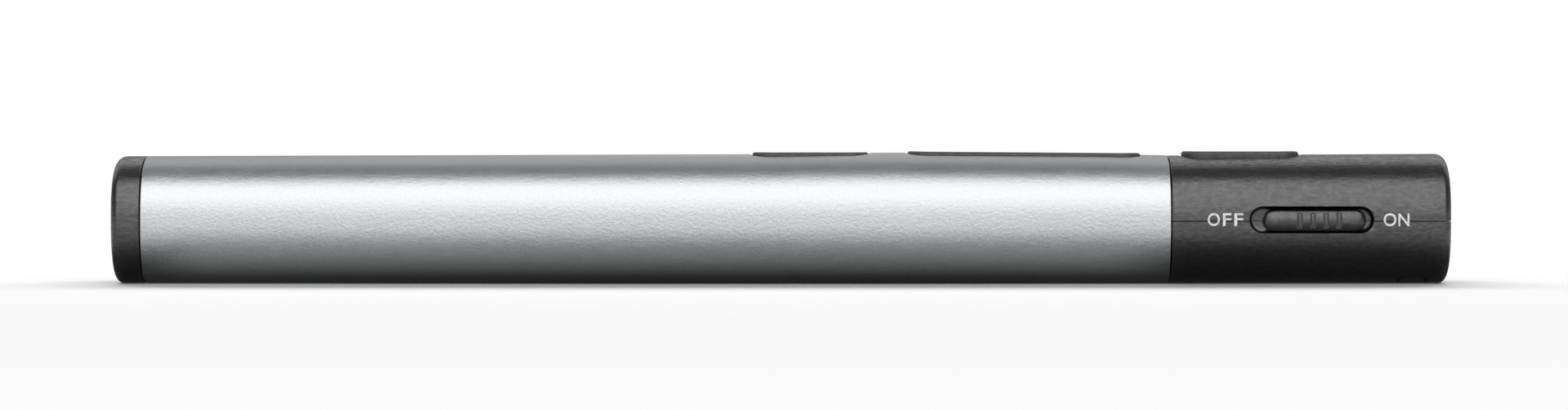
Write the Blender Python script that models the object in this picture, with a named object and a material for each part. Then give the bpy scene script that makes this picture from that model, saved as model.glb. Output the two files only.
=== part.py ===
"""Wireless presenter: an aluminium tube with a rear cap that docks the receiver, a front housing with the
slide switch and the laser, keys on top, and one AAA cell, chassis and board inside.

Metres, +Z up. +X points out of the laser nose, -Y is the side with the slide switch, Z 0 is the surface
that it lies on.
"""

import math

import bmesh
import bpy
from mathutils import Matrix, Vector

MM = 0.001

# Outer body: its length and height follow from what it holds, below
WIDTH = 21.0 * MM
CELL_ROOM = 1.75 * MM  # from the cell to the top and to the underside, before it is lifted
SECTION_ROUNDNESS = 2.6  # exponent of the superellipse that the section follows
BELLY_DEPTH = 0.25 * MM  # how far the flat underside cuts into the section
SWELL = 0.3 * MM  # the back of the tube rises this much near the keys
SWELL_PEAK_SET_BACK = 30.5 * MM  # from the seam of the front housing
SWELL_REAR_REACH = 82.0 * MM
SWELL_FRONT_REACH = 32.0 * MM
END_ROUND = 1.0 * MM  # rim fillet of both ends
END_DOME = 0.3 * MM  # how far the end faces bulge
SECTION_POINTS = 52
WIDE_SIDES = 32  # of the widest round shapes
ROUND_SIDES = 24
SMALL_SIDES = 16
CORNER_STEPS = 6
RECESS_STEPS = 8
RIB_STEPS = 4
TUBE_STEPS = 9
END_STEPS = 4
DOME_SHARES = ((0.75, 0.0), (0.4, 0.35))  # inset and depth of the rings inside the rim fillet
SMOOTH_ANGLE = 35.0
STRAIGHT_SINE = 1e-4
MERGE = 1e-6
FULL_ROUND_SHARE = 0.99  # a round end keeps this much of the half width as its radius

# Walls and clearances
TUBE_WALL = 1.0 * MM
HOUSING_WALL = 1.2 * MM
SEAM = 0.12 * MM  # visible line between the outer pieces
FIT = 0.25 * MM  # round the pieces that slot into one another
SEAT = 0.3 * MM  # between a piece and what it rests on
OVERRUN = 1.0 * MM  # how far a cutter runs past what it cuts

# Rear cap and the receiver that it docks
CAP_LENGTH = 3.2 * MM
SPIGOT_LENGTH = 4.8 * MM
DOCK_LENGTH = 17.0 * MM  # from the seam to the front face of the dock
DOCK_WALL = 1.2 * MM
DOCK_HEAD = 1.2 * MM
RECEIVER_SHOULDER = 1.2 * MM  # how far its body stands out past the plug at each side
RECEIVER_HEIGHT = 6.1 * MM
RECEIVER_BODY_LENGTH = 6.7 * MM
RECEIVER_ROUND = 0.8 * MM
RECEIVER_RECESS = 0.35 * MM  # below the middle of the domed end
RECEIVER_FIT = 0.3 * MM
GRIP_SCOOP_RADIUS = 4.0 * MM
GRIP_SCOOP_DEPTH = 1.5 * MM
GRIP_GROOVE = 0.35 * MM
GRIP_GROOVE_COUNT = 3
GROOVE_STEP_SHARE = 0.7
GROOVE_START_SHARE = 3
GROOVE_PITCH_SHARE = 4
GROOVE_RING_SHARES = ((0, False), (1, True), (2, True), (3, False))  # place, and whether it is drawn in
PLUG_WIDTH = 12.0 * MM
PLUG_HEIGHT = 4.5 * MM
PLUG_LENGTH = 11.75 * MM
PLUG_SHEET = 0.3 * MM
PLUG_WINDOW = 2.0 * MM  # square locking windows of the plug shell
PLUG_WINDOW_PITCH = 5.5 * MM
PLUG_WINDOW_SET_BACK = 4.6 * MM
CONTACT_BOARD_SIDE = 0.7 * MM  # from the side of the plug to its board
CONTACT_BOARD_THICKNESS = 1.6 * MM
CONTACT_PITCH = 2.25 * MM
CONTACT_WIDTH = 1.1 * MM
CONTACT_LENGTH = 7.5 * MM
CONTACT_THICKNESS = 0.15 * MM
CONTACT_COUNT = 4

# Battery
CELL_DIAMETER = 10.5 * MM
CELL_LENGTH = 44.5 * MM
CELL_NUB_DIAMETER = 3.8 * MM
CELL_NUB_LENGTH = 0.9 * MM
CELL_ROUND = 0.6 * MM
NUB_TAPER_SHARE = 0.9
CELL_LIFT = 0.3 * MM  # cell axis above the middle of the tube
SPRING_FREE_LENGTH = 2.7 * MM
SPRING_WIRE = 0.5 * MM
SPRING_BASE_DIAMETER = 7.6 * MM
SPRING_TIP_DIAMETER = 4.4 * MM
SPRING_TURNS = 2.5
SPRING_STEPS_PER_TURN = 12
CONTACT_PLATE_SIZE = 7.4 * MM
CONTACT_PLATE_THICKNESS = 0.3 * MM
STRIP_WIDTH = 1.4 * MM
STRIP_THICKNESS = 0.2 * MM

# Chassis
CHASSIS_FLOOR = 0.9 * MM
CHASSIS_CELL_RISE = 2.8 * MM  # of its sides over the middle of the tube
CHASSIS_RAIL_RISE = 0.6 * MM  # of the rails over the board
CHASSIS_RAIL_DEPTH = 0.9 * MM
CHASSIS_END_WALL = 1.2 * MM
CHASSIS_END_RISE = 0.8 * MM  # of the end wall over the board
CHASSIS_RIB = 1.0 * MM
CHASSIS_RIB_COUNT = 3

# Board
BOARD_RISE = 1.5 * MM  # of its underside over the middle of the tube
BOARD_THICKNESS = 0.8 * MM
BOARD_SIDE_GAP = 1.1 * MM  # from the inside of the tube
BOARD_NECK_GAP = 1.24 * MM  # from the inside of the neck

# Keys, and the gaps before, between and after those on the tube
KEY_BAY_REAR = 0.35 * MM
SCREEN_KEY_LENGTH = 12.8 * MM
KEY_SPACING = 4.35 * MM
ROCKER_LENGTH = 25.6 * MM
KEY_BAY_FRONT = 2.9 * MM
LASER_KEY_SET_IN = 1.8 * MM  # from the seam of the front housing
LASER_KEY_LENGTH = 12.7 * MM
KEY_WIDTH = 8.0 * MM
KEY_CORNER = 2.2 * MM
KEY_PROUD = 0.35 * MM
LASER_KEY_PROUD = 0.4 * MM
KEY_FLANGE = 0.8 * MM
KEY_FLANGE_DEPTH = 1.9 * MM  # of the top of the flange below the back of the body
KEY_FLANGE_THICKNESS = 0.5 * MM
KEY_TRAVEL = 0.35 * MM
KEY_CROWN_STEPS = 8
KEY_BOSS_LENGTH = 3.0 * MM
KEY_BOSS_WIDTH = 3.0 * MM
ROCKER_BOSS_SET_IN = 3.8 * MM  # from the ends of the rocker
ROCKER_RIB = 2.4 * MM
PIVOT_PIN_DIAMETER = 1.0 * MM
PIVOT_PIN_SET_IN = 0.5 * MM  # of its ends from the outside of the ears
PIVOT_PLAY = 0.12 * MM
PIVOT_DROP = 0.55 * MM  # of its axis below the top of the key frame
PIVOT_EAR_WALL = 0.5 * MM
PIN_BEVEL_SHARE = 0.15
EAR_GAP = 0.4 * MM  # from the rib of the rocker
EAR_SET_IN = 1.2 * MM  # from the side of the key frame
DOME_DIAMETER = 5.0 * MM
DOME_HEIGHT = 0.3 * MM
DOME_SHEET = 0.12 * MM
DOME_STEPS = 4
KEY_FRAME_DEPTH = 2.95 * MM  # of its top below the back of the body
KEY_FRAME_THICKNESS = 0.6 * MM
KEY_FRAME_SIDE_GAP = 0.39 * MM  # from the inside of the tube
KEY_FRAME_POST = 1.2 * MM

# Front housing
HOUSING_LENGTH = 30.5 * MM
NECK_LENGTH = 4.5 * MM
NECK_WALL = 1.0 * MM
COLLAR_LENGTH = 0.6 * MM
PARTING_DROP = 0.1 * MM  # of the parting line below the middle of the body
NOSE_WALL = 1.6 * MM
HOUSING_STEPS = 3
BOSS_TOP_SHARE = 1.35
BOSS_FLOOR_SHARE = 0.5
BOSS_SINK_SHARE = 0.75

# Slide switch
SWITCH_SET_BACK = 15.15 * MM  # from the nose to the middle of the recess
SWITCH_RECESS_LENGTH = 13.4 * MM
SWITCH_RECESS_HEIGHT = 2.95 * MM
SWITCH_RECESS_DEPTH = 1.15 * MM
SWITCH_FLOOR_WALL = 0.8 * MM
SWITCH_TRAVEL = 1.3 * MM
KNOB_LENGTH = 11.2 * MM
KNOB_HEIGHT = 2.45 * MM
KNOB_SET_IN = 0.15 * MM  # crown of the knob below the widest point of the body
KNOB_CROWN = 0.25 * MM
KNOB_CROWN_REACH = 2.2  # how far in the crown's easing runs, in crown heights
KNOB_CROWN_STEPS = 4
KNOB_RIB_PITCH = 1.43 * MM
KNOB_RIB_WIDTH = 0.57 * MM
KNOB_RIB_HEIGHT = 1.64 * MM
KNOB_RIB_COUNT = 4
KNOB_RIB_PROUD = 0.12 * MM
KNOB_RIB_GROUP_SHIFT = 0.4 * MM
KNOB_STEM_LENGTH = 4.0 * MM
KNOB_STEM_HEIGHT = 1.3 * MM
KNOB_FORK_LENGTH = 5.0 * MM
KNOB_FORK_HEIGHT = 2.6 * MM
KNOB_FORK_DEPTH = 0.75 * MM
LEVER_LENGTH = 1.5 * MM
LEVER_HEIGHT = 1.3 * MM
SWITCH_BODY_LENGTH = 8.5 * MM
SWITCH_BODY_WIDTH = 3.4 * MM
SWITCH_BODY_HEIGHT = 3.4 * MM
SWITCH_FACE_GAP = 0.35 * MM  # from the fork of the knob
SWITCH_SLOT_DEPTH = 1.8 * MM
SWITCH_BODY_ROUND_SHARE = 0.06

# Laser
LASER_DIAMETER = 6.0 * MM
LASER_LENGTH = 9.0 * MM
LASER_WALL = 0.7 * MM
LASER_SET_BACK = 1.9 * MM  # barrel front behind the nose
LENS_DIAMETER = 3.8 * MM
LENS_THICKNESS = 1.3 * MM
LENS_RIM_SHARE = 0.35
LENS_STEPS = 5
LENS_SET_BACK = 1.3 * MM
LENS_RING_WIDTH = 0.7 * MM
LENS_RING_BORE = 2.6 * MM
DIODE_DIAMETER = 3.6 * MM
DIODE_LENGTH = 2.4 * MM
DIODE_FLANGE_SHARE = 0.4
WINDOW_DIAMETER = 4.4 * MM
WINDOW_THICKNESS = 0.7 * MM
WINDOW_SET_BACK = 0.45 * MM
APERTURE_DIAMETER = 3.6 * MM
SADDLE_WIDTH = 1.2 * MM

# Screws
SCREW_DIAMETER = 1.6 * MM
SCREW_HEAD_DIAMETER = 2.8 * MM
SCREW_HEAD_HEIGHT = 0.9 * MM
SCREW_LENGTH = 4.0 * MM
HOUSING_SCREW_LENGTH = 7.5 * MM
SCREW_BOSS_DIAMETER = 3.2 * MM
HOUSING_BOSS_DIAMETER = 4.0 * MM
CROSS_REACH_SHARE = 0.6
CROSS_ARM_SHARE = 0.16
HOUSING_SCREW_SET_BACK = 3.8 * MM  # from the nose
HOUSING_SCREW_SINK = 2.6 * MM
BOARD_SCREW_REAR_INSET = 2.8 * MM  # from the side of the board
BOARD_SCREW_FRONT_INSET = 1.9 * MM
FRONT_BOSS_SET_BACK = 0.4 * MM  # from the seam of the front housing

# Chips below the board, placed from the middle of the rocker
CONTROL_CHIP_SET_BACK = 7.3 * MM
CONTROL_CHIP_SIZE = 5.0 * MM
RADIO_CHIP_SET_FORWARD = 6.7 * MM
RADIO_CHIP_SIZE = 4.0 * MM
CHIP_HEIGHT = 0.9 * MM
CRYSTAL_SET_FORWARD = 0.2 * MM
CRYSTAL_LENGTH = 3.2 * MM
CRYSTAL_WIDTH = 2.5 * MM
CRYSTAL_HEIGHT = 0.8 * MM
CRYSTAL_ROUND_SHARE = 0.25

# Sizes that follow from the sizes above
CELL_STACK = CELL_LENGTH + SPRING_FREE_LENGTH + 2 * CONTACT_PLATE_THICKNESS + 5 * SEAT
KEY_BAY = KEY_BAY_REAR + SCREEN_KEY_LENGTH + KEY_SPACING + ROCKER_LENGTH + KEY_BAY_FRONT
LENGTH = CAP_LENGTH + DOCK_LENGTH + CELL_STACK + KEY_BAY + HOUSING_LENGTH
HEIGHT = CELL_DIAMETER + 2 * CELL_ROOM
RECEIVER_WIDTH = PLUG_WIDTH + 2 * RECEIVER_SHOULDER
CONTACT_BOARD_WIDTH = PLUG_WIDTH - 2 * CONTACT_BOARD_SIDE
CHASSIS_INSET = TUBE_WALL + FIT

# Places that follow from the sizes above
TAIL_X = -LENGTH / 2
NOSE_X = LENGTH / 2
CAP_SEAM_X = TAIL_X + CAP_LENGTH
HOUSING_SEAM_X = NOSE_X - HOUSING_LENGTH
SWELL_PEAK_X = HOUSING_SEAM_X - SWELL_PEAK_SET_BACK
MIDDLE_Z = HEIGHT / 2
SIDE_Y = WIDTH / 2
PARTING_Z = MIDDLE_Z - PARTING_DROP
DOCK_FRONT_X = CAP_SEAM_X + DOCK_LENGTH
RECEIVER_X = TAIL_X + RECEIVER_RECESS
PLUG_X = RECEIVER_X + RECEIVER_BODY_LENGTH
PLUG_TIP_X = PLUG_X + PLUG_LENGTH
CELL_Z = MIDDLE_Z + CELL_LIFT
REAR_PLATE_X = DOCK_FRONT_X + SEAT
SPRING_X = REAR_PLATE_X + CONTACT_PLATE_THICKNESS + SEAT
CELL_X = SPRING_X + SPRING_FREE_LENGTH + SEAT
CELL_FRONT_X = CELL_X + CELL_LENGTH
FRONT_PLATE_X = CELL_FRONT_X + SEAT
END_WALL_X = FRONT_PLATE_X + CONTACT_PLATE_THICKNESS + SEAT
BOARD_X = END_WALL_X + CHASSIS_END_WALL + SEAT
BOARD_UNDERSIDE = MIDDLE_Z + BOARD_RISE
BOARD_TOP = BOARD_UNDERSIDE + BOARD_THICKNESS
CHASSIS_X = DOCK_FRONT_X + SEAT
CHASSIS_FRONT_X = HOUSING_SEAM_X - NECK_LENGTH - SEAT
CHASSIS_CELL_TOP = MIDDLE_Z + CHASSIS_CELL_RISE
CHASSIS_RAIL_TOP = BOARD_TOP + CHASSIS_RAIL_RISE
CHASSIS_END_TOP = BOARD_TOP + CHASSIS_END_RISE
SCREEN_KEY_X = END_WALL_X + KEY_BAY_REAR + SCREEN_KEY_LENGTH / 2
ROCKER_X = HOUSING_SEAM_X - KEY_BAY_FRONT - ROCKER_LENGTH / 2
PAGE_BACK_X = ROCKER_X - ROCKER_LENGTH / 2 + ROCKER_BOSS_SET_IN
PAGE_FORWARD_X = ROCKER_X + ROCKER_LENGTH / 2 - ROCKER_BOSS_SET_IN
LASER_KEY_X = HOUSING_SEAM_X + LASER_KEY_SET_IN + LASER_KEY_LENGTH / 2
KEY_FLANGE_TOP = HEIGHT - KEY_FLANGE_DEPTH
DOME_TOP = BOARD_TOP + SEAT / 2 + DOME_HEIGHT
BOSS_Z = DOME_TOP + SEAT / 2
KEY_FRAME_TOP = HEIGHT - KEY_FRAME_DEPTH
KEY_FRAME_UNDERSIDE = KEY_FRAME_TOP - KEY_FRAME_THICKNESS
PIVOT_Z = KEY_FRAME_TOP - PIVOT_DROP
LASER_X = NOSE_X - LASER_SET_BACK - LASER_LENGTH
LASER_Z = MIDDLE_Z
SADDLE_X = LASER_X + LASER_LENGTH / 2
BOARD_FRONT_X = LASER_X - FIT
SWITCH_Z = PARTING_Z
SWITCH_RECESS_X = NOSE_X - SWITCH_SET_BACK
KNOB_X = SWITCH_RECESS_X + SWITCH_TRAVEL / 4
SWITCH_BODY_X = KNOB_X - SWITCH_TRAVEL / 2
RECESS_FLOOR_Y = -SIDE_Y + SWITCH_RECESS_DEPTH
SWITCH_PAD_Y = RECESS_FLOOR_Y + SWITCH_FLOOR_WALL
SWITCH_BODY_FACE_Y = SWITCH_PAD_Y + FIT + KNOB_FORK_DEPTH + SWITCH_FACE_GAP
HOUSING_PARTING = SEAM / 2
SINK_RADIUS = SCREW_HEAD_DIAMETER / 2 + FIT
HOUSING_SCREW_X = NOSE_X - HOUSING_SCREW_SET_BACK
HOUSING_SCREW_Y = LASER_DIAMETER / 2 + 2 * FIT + HOUSING_BOSS_DIAMETER / 2
BOARD_SCREW_REAR_X = SCREEN_KEY_X + SCREEN_KEY_LENGTH / 2 + KEY_SPACING / 2
BOARD_SCREW_FRONT_X = HOUSING_SEAM_X - FRONT_BOSS_SET_BACK
CONTROL_CHIP_X = ROCKER_X - CONTROL_CHIP_SET_BACK
RADIO_CHIP_X = ROCKER_X + RADIO_CHIP_SET_FORWARD
CRYSTAL_X = ROCKER_X + CRYSTAL_SET_FORWARD


def half_width_at(height, inset):
    """Half the width of the body's section, moved inwards by inset, at a height over its middle."""
    share = (height - MIDDLE_Z) / (MIDDLE_Z - inset)
    return (SIDE_Y - inset) * (1 - share**SECTION_ROUNDNESS) ** (1 / SECTION_ROUNDNESS)


BOARD_WIDTH = 2 * (half_width_at(BOARD_TOP, CHASSIS_INSET) - BOARD_SIDE_GAP)
BOARD_FRONT_WIDTH = 2 * (half_width_at(BOARD_TOP, CHASSIS_INSET + NECK_WALL) - BOARD_NECK_GAP)
BOARD_SCREW_REAR_Y = BOARD_WIDTH / 2 - BOARD_SCREW_REAR_INSET
BOARD_SCREW_FRONT_Y = BOARD_FRONT_WIDTH / 2 - BOARD_SCREW_FRONT_INSET
KEY_FRAME_WIDTH = 2 * (half_width_at(KEY_FRAME_TOP, CHASSIS_INSET) - KEY_FRAME_SIDE_GAP)
EAR_INNER_Y = KEY_BOSS_WIDTH + EAR_GAP
EAR_OUTER_Y = KEY_FRAME_WIDTH / 2 - EAR_SET_IN
PIVOT_PIN_LENGTH = 2 * (EAR_OUTER_Y - PIVOT_PIN_SET_IN)


def material(name, colour, roughness, metallic=0.0):
    made = bpy.data.materials.new(name)
    made.use_nodes = True
    shader = made.node_tree.nodes["Principled BSDF"]
    shader.inputs["Base Color"].default_value = (*colour, 1.0)
    shader.inputs["Roughness"].default_value = roughness
    shader.inputs["Metallic"].default_value = metallic
    return made


def finish_object(name, mesh, look, smooth=True):
    """Puts a bmesh into the scene as a named object with its material."""
    bmesh.ops.recalc_face_normals(mesh, faces=mesh.faces)
    data = bpy.data.meshes.new(name)
    mesh.to_mesh(data)
    mesh.free()
    if smooth:
        data.shade_smooth()
        data.set_sharp_from_angle(angle=math.radians(SMOOTH_ANGLE))
    made = bpy.data.objects.new(name, data)
    bpy.context.scene.collection.objects.link(made)
    if look:
        data.materials.append(look)
    return made


def as_helper(made):
    made.hide_render = True
    made.display_type = "WIRE"
    return made


def straightened(points):
    """The outline without repeated points and without points in the middle of a straight run."""
    kept = []
    count = len(points)
    for index, point in enumerate(points):
        before = points[index - 1]
        after = points[(index + 1) % count]
        first = (point[0] - before[0], point[1] - before[1])
        second = (after[0] - point[0], after[1] - point[1])
        cross = first[0] * second[1] - first[1] * second[0]
        size = math.hypot(*first) * math.hypot(*second)
        if size and abs(cross) > STRAIGHT_SINE * size:
            kept.append(point)
        elif not math.hypot(*first) and math.hypot(*second):
            kept.append(point)
    return kept


def swell(x):
    """How far the back of the body rises at x."""
    reach = SWELL_REAR_REACH if x < SWELL_PEAK_X else SWELL_FRONT_REACH
    away = min(abs(x - SWELL_PEAK_X) / reach, 1)
    return SWELL * (1 + math.cos(math.pi * away)) / 2


def section(inset, x=TAIL_X):
    """The body's outline in Y and Z, moved inwards by inset, at x."""
    half_width = SIDE_Y - inset
    upper = MIDDLE_Z - inset + swell(x)
    lower = MIDDLE_Z - inset + BELLY_DEPTH
    points = []
    for step in range(SECTION_POINTS):
        angle = 2 * math.pi * (step + 0.5) / SECTION_POINTS
        across = math.copysign(abs(math.cos(angle)) ** (2 / SECTION_ROUNDNESS), math.cos(angle))
        up = math.copysign(abs(math.sin(angle)) ** (2 / SECTION_ROUNDNESS), math.sin(angle))
        height = MIDDLE_Z + up * (upper if up > 0 else lower)
        points.append((half_width * across, max(height, inset)))
    return points


def clipped(points, half_width=WIDTH, low=-HEIGHT, high=2 * HEIGHT):
    """The outline held inside a box, for pieces that stop short of the full section."""
    held = [(min(max(y, -half_width), half_width), min(max(z, low), high)) for y, z in points]
    return straightened(held)


def skinned(name, loops, look=None):
    """A closed solid through loops of equally many points, its first and last loops filled."""
    mesh = bmesh.new()
    rows = [[mesh.verts.new(point) for point in loop] for loop in loops]
    for first, second in zip(rows, rows[1:]):
        count = len(first)
        for index in range(count):
            after = (index + 1) % count
            mesh.faces.new((first[index], first[after], second[after], second[index]))
    mesh.faces.new(rows[0])
    mesh.faces.new(rows[-1])
    return finish_object(name, mesh, look)


def loft(name, rings, look=None):
    """A closed solid through rings of (x, [(y, z), ...]) with equal counts of points."""
    return skinned(name, [[(x, y, z) for y, z in outline] for x, outline in rings], look)


def prism(name, start, end, outline, look=None):
    return loft(name, [(start, outline), (end, outline)], look)


def block(name, low, high, look=None, bevel=0.0, segments=2):
    """A box between two corners, its edges rounded by bevel."""
    mesh = bmesh.new()
    size = [b - a for a, b in zip(low, high)]
    middle = [(a + b) / 2 for a, b in zip(low, high)]
    bmesh.ops.create_cube(mesh, size=1, matrix=Matrix.Translation(middle) @ Matrix.Diagonal((*size, 1)))
    if bevel:
        bmesh.ops.bevel(
            mesh,
            geom=mesh.edges[:],
            offset=bevel,
            affect="EDGES",
            segments=segments,
            profile=0.5,
            material=-1,
        )
    return finish_object(name, mesh, look)


def turned(name, profile, centre, direction, look=None, sides=ROUND_SIDES):
    """A profile of (along, radius) points turned about the axis through centre along direction."""
    mesh = bmesh.new()
    points = [mesh.verts.new((radius, 0, along)) for along, radius in profile]
    edges = [mesh.edges.new(pair) for pair in zip(points, points[1:])]
    if profile[0][1] and profile[-1][1]:
        edges.append(mesh.edges.new((points[-1], points[0])))
    bmesh.ops.spin(
        mesh,
        geom=points + edges,
        cent=(0, 0, 0),
        axis=(0, 0, 1),
        angle=2 * math.pi,
        steps=sides,
        use_merge=True,
    )
    bmesh.ops.remove_doubles(mesh, verts=mesh.verts, dist=MERGE)
    turn = Vector((0, 0, 1)).rotation_difference(Vector(direction)).to_matrix().to_4x4()
    bmesh.ops.transform(mesh, matrix=Matrix.Translation(centre) @ turn, verts=mesh.verts)
    return finish_object(name, mesh, look)


def rod(name, start, end, radius, look=None, sides=ROUND_SIDES, bevel=0.0):
    """A round bar from start to end, the rims of its ends eased by bevel."""
    along = Vector(end) - Vector(start)
    turn = Vector((0, 0, 1)).rotation_difference(along).to_matrix().to_4x4()
    place = Matrix.Translation((Vector(start) + Vector(end)) / 2) @ turn
    mesh = bmesh.new()
    bmesh.ops.create_cone(
        mesh, cap_ends=True, segments=sides, radius1=radius, radius2=radius, depth=along.length, matrix=place
    )
    if bevel:
        rims = [edge for edge in mesh.edges if any(len(face.verts) > 4 for face in edge.link_faces)]
        bmesh.ops.bevel(
            mesh, geom=rims, offset=bevel, affect="EDGES", segments=1, profile=0.5, material=-1
        )
    return finish_object(name, mesh, look)


def slot_outline(length, width, corner, arc_steps=CORNER_STEPS):
    """A rectangle with round corners, as (along, across) points about its middle."""
    corner = min(corner, length / 2 * FULL_ROUND_SHARE, width / 2 * FULL_ROUND_SHARE)
    if not corner:
        across, up = length / 2, width / 2
        return [(across, up), (-across, up), (-across, -up), (across, -up)]
    points = []
    for quarter in range(4):
        side = 1 if quarter in (0, 3) else -1
        top = 1 if quarter in (0, 1) else -1
        for step in range(arc_steps + 1):
            angle = math.pi / 2 * (quarter + step / arc_steps)
            points.append(
                (
                    side * (length / 2 - corner) + corner * math.cos(angle),
                    top * (width / 2 - corner) + corner * math.sin(angle),
                )
            )
    return points


def stacked(name, centre, layers, look=None):
    """A closed solid of flat outlines laid on one another: layers of (height, outline), upwards."""
    loops = [[(centre[0] + x, centre[1] + y, height) for x, y in outline] for height, outline in layers]
    return skinned(name, loops, look)


def combine(piece, operation, others):
    for other in others:
        modifier = piece.modifiers.new(f"{operation.lower()} {other.name}", "BOOLEAN")
        modifier.operation = operation
        modifier.object = as_helper(other)
    return piece


def cut(piece, *cutters):
    return combine(piece, "DIFFERENCE", cutters)


def join(piece, *added):
    return combine(piece, "UNION", added)


def keep_inside(piece, *moulds):
    return combine(piece, "INTERSECT", moulds)


def end_rings(end_x, inwards):
    """Rings of a rounded and slightly domed end, from its middle to the full section."""
    rings = []
    for inset_share, depth_share in DOME_SHARES:
        rings.append((end_x + inwards * END_DOME * depth_share, section(MIDDLE_Z * inset_share, end_x)))
    for step in range(END_STEPS, -1, -1):
        angle = math.pi / 2 * step / END_STEPS
        depth = END_DOME + END_ROUND * (1 - math.sin(angle))
        rings.append((end_x + inwards * depth, section(END_ROUND * (1 - math.cos(angle)), end_x)))
    return rings


def aluminium_tube():
    xs = [CAP_SEAM_X + (HOUSING_SEAM_X - CAP_SEAM_X) * step / TUBE_STEPS for step in range(TUBE_STEPS + 1)]
    tube = loft("aluminium_tube", [(x, section(0, x)) for x in xs], ALUMINIUM)
    xs[0] -= OVERRUN
    xs[-1] += OVERRUN
    bore = loft("tube bore", [(x, section(TUBE_WALL, x)) for x in xs])
    cut(tube, bore, key_opening("screen key opening", SCREEN_KEY_X, SCREEN_KEY_LENGTH))
    return cut(tube, key_opening("rocker opening", ROCKER_X, ROCKER_LENGTH))


def key_opening(name, x, length):
    outline = slot_outline(length + 2 * FIT, KEY_WIDTH + 2 * FIT, KEY_CORNER + FIT)
    return stacked(name, (x, 0), [(KEY_FLANGE_TOP - KEY_TRAVEL, outline), (HEIGHT + OVERRUN, outline)])


def rear_cap():
    front = CAP_SEAM_X - SEAM
    cap = loft("rear_cap", [*end_rings(TAIL_X, 1), (front, section(0, CAP_SEAM_X))], BLACK_SATIN)
    spigot = prism(
        "cap spigot", front - OVERRUN, CAP_SEAM_X + SPIGOT_LENGTH, section(TUBE_WALL + FIT, CAP_SEAM_X)
    )
    round_plug = 2 * (RECEIVER_FIT + DOCK_WALL)
    tunnel = slot_outline(PLUG_WIDTH + round_plug, PLUG_HEIGHT + round_plug, 0)
    dock = prism(
        "dock tunnel",
        CAP_SEAM_X + SPIGOT_LENGTH - OVERRUN,
        DOCK_FRONT_X - DOCK_HEAD / 2,
        [(y, MIDDLE_Z + z) for y, z in tunnel],
    )
    keep_inside(dock, prism("tunnel mould", TAIL_X, NOSE_X, section(TUBE_WALL + FIT, CAP_SEAM_X)))
    head = prism(
        "dock head", DOCK_FRONT_X - DOCK_HEAD, DOCK_FRONT_X, section(TUBE_WALL + FIT, DOCK_FRONT_X)
    )
    join(cap, spigot, dock, head)
    body_hole = slot_outline(
        RECEIVER_WIDTH + 2 * RECEIVER_FIT, RECEIVER_HEIGHT + 2 * RECEIVER_FIT, RECEIVER_ROUND + RECEIVER_FIT
    )
    plug_hole = slot_outline(PLUG_WIDTH + 2 * RECEIVER_FIT, PLUG_HEIGHT + 2 * RECEIVER_FIT, RECEIVER_FIT)
    body_room = prism(
        "receiver room", TAIL_X - OVERRUN, PLUG_X + RECEIVER_FIT, [(y, MIDDLE_Z + z) for y, z in body_hole]
    )
    plug_room = prism(
        "plug room", PLUG_X - OVERRUN, PLUG_TIP_X + RECEIVER_FIT, [(y, MIDDLE_Z + z) for y, z in plug_hole]
    )
    scoop = rod(
        "grip scoop",
        (TAIL_X + GRIP_SCOOP_DEPTH - GRIP_SCOOP_RADIUS, 0, RECEIVER_HEIGHT / 2),
        (TAIL_X + GRIP_SCOOP_DEPTH - GRIP_SCOOP_RADIUS, 0, HEIGHT - RECEIVER_HEIGHT / 2),
        GRIP_SCOOP_RADIUS,
    )
    return cut(cap, body_room, plug_room, scoop)


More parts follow.
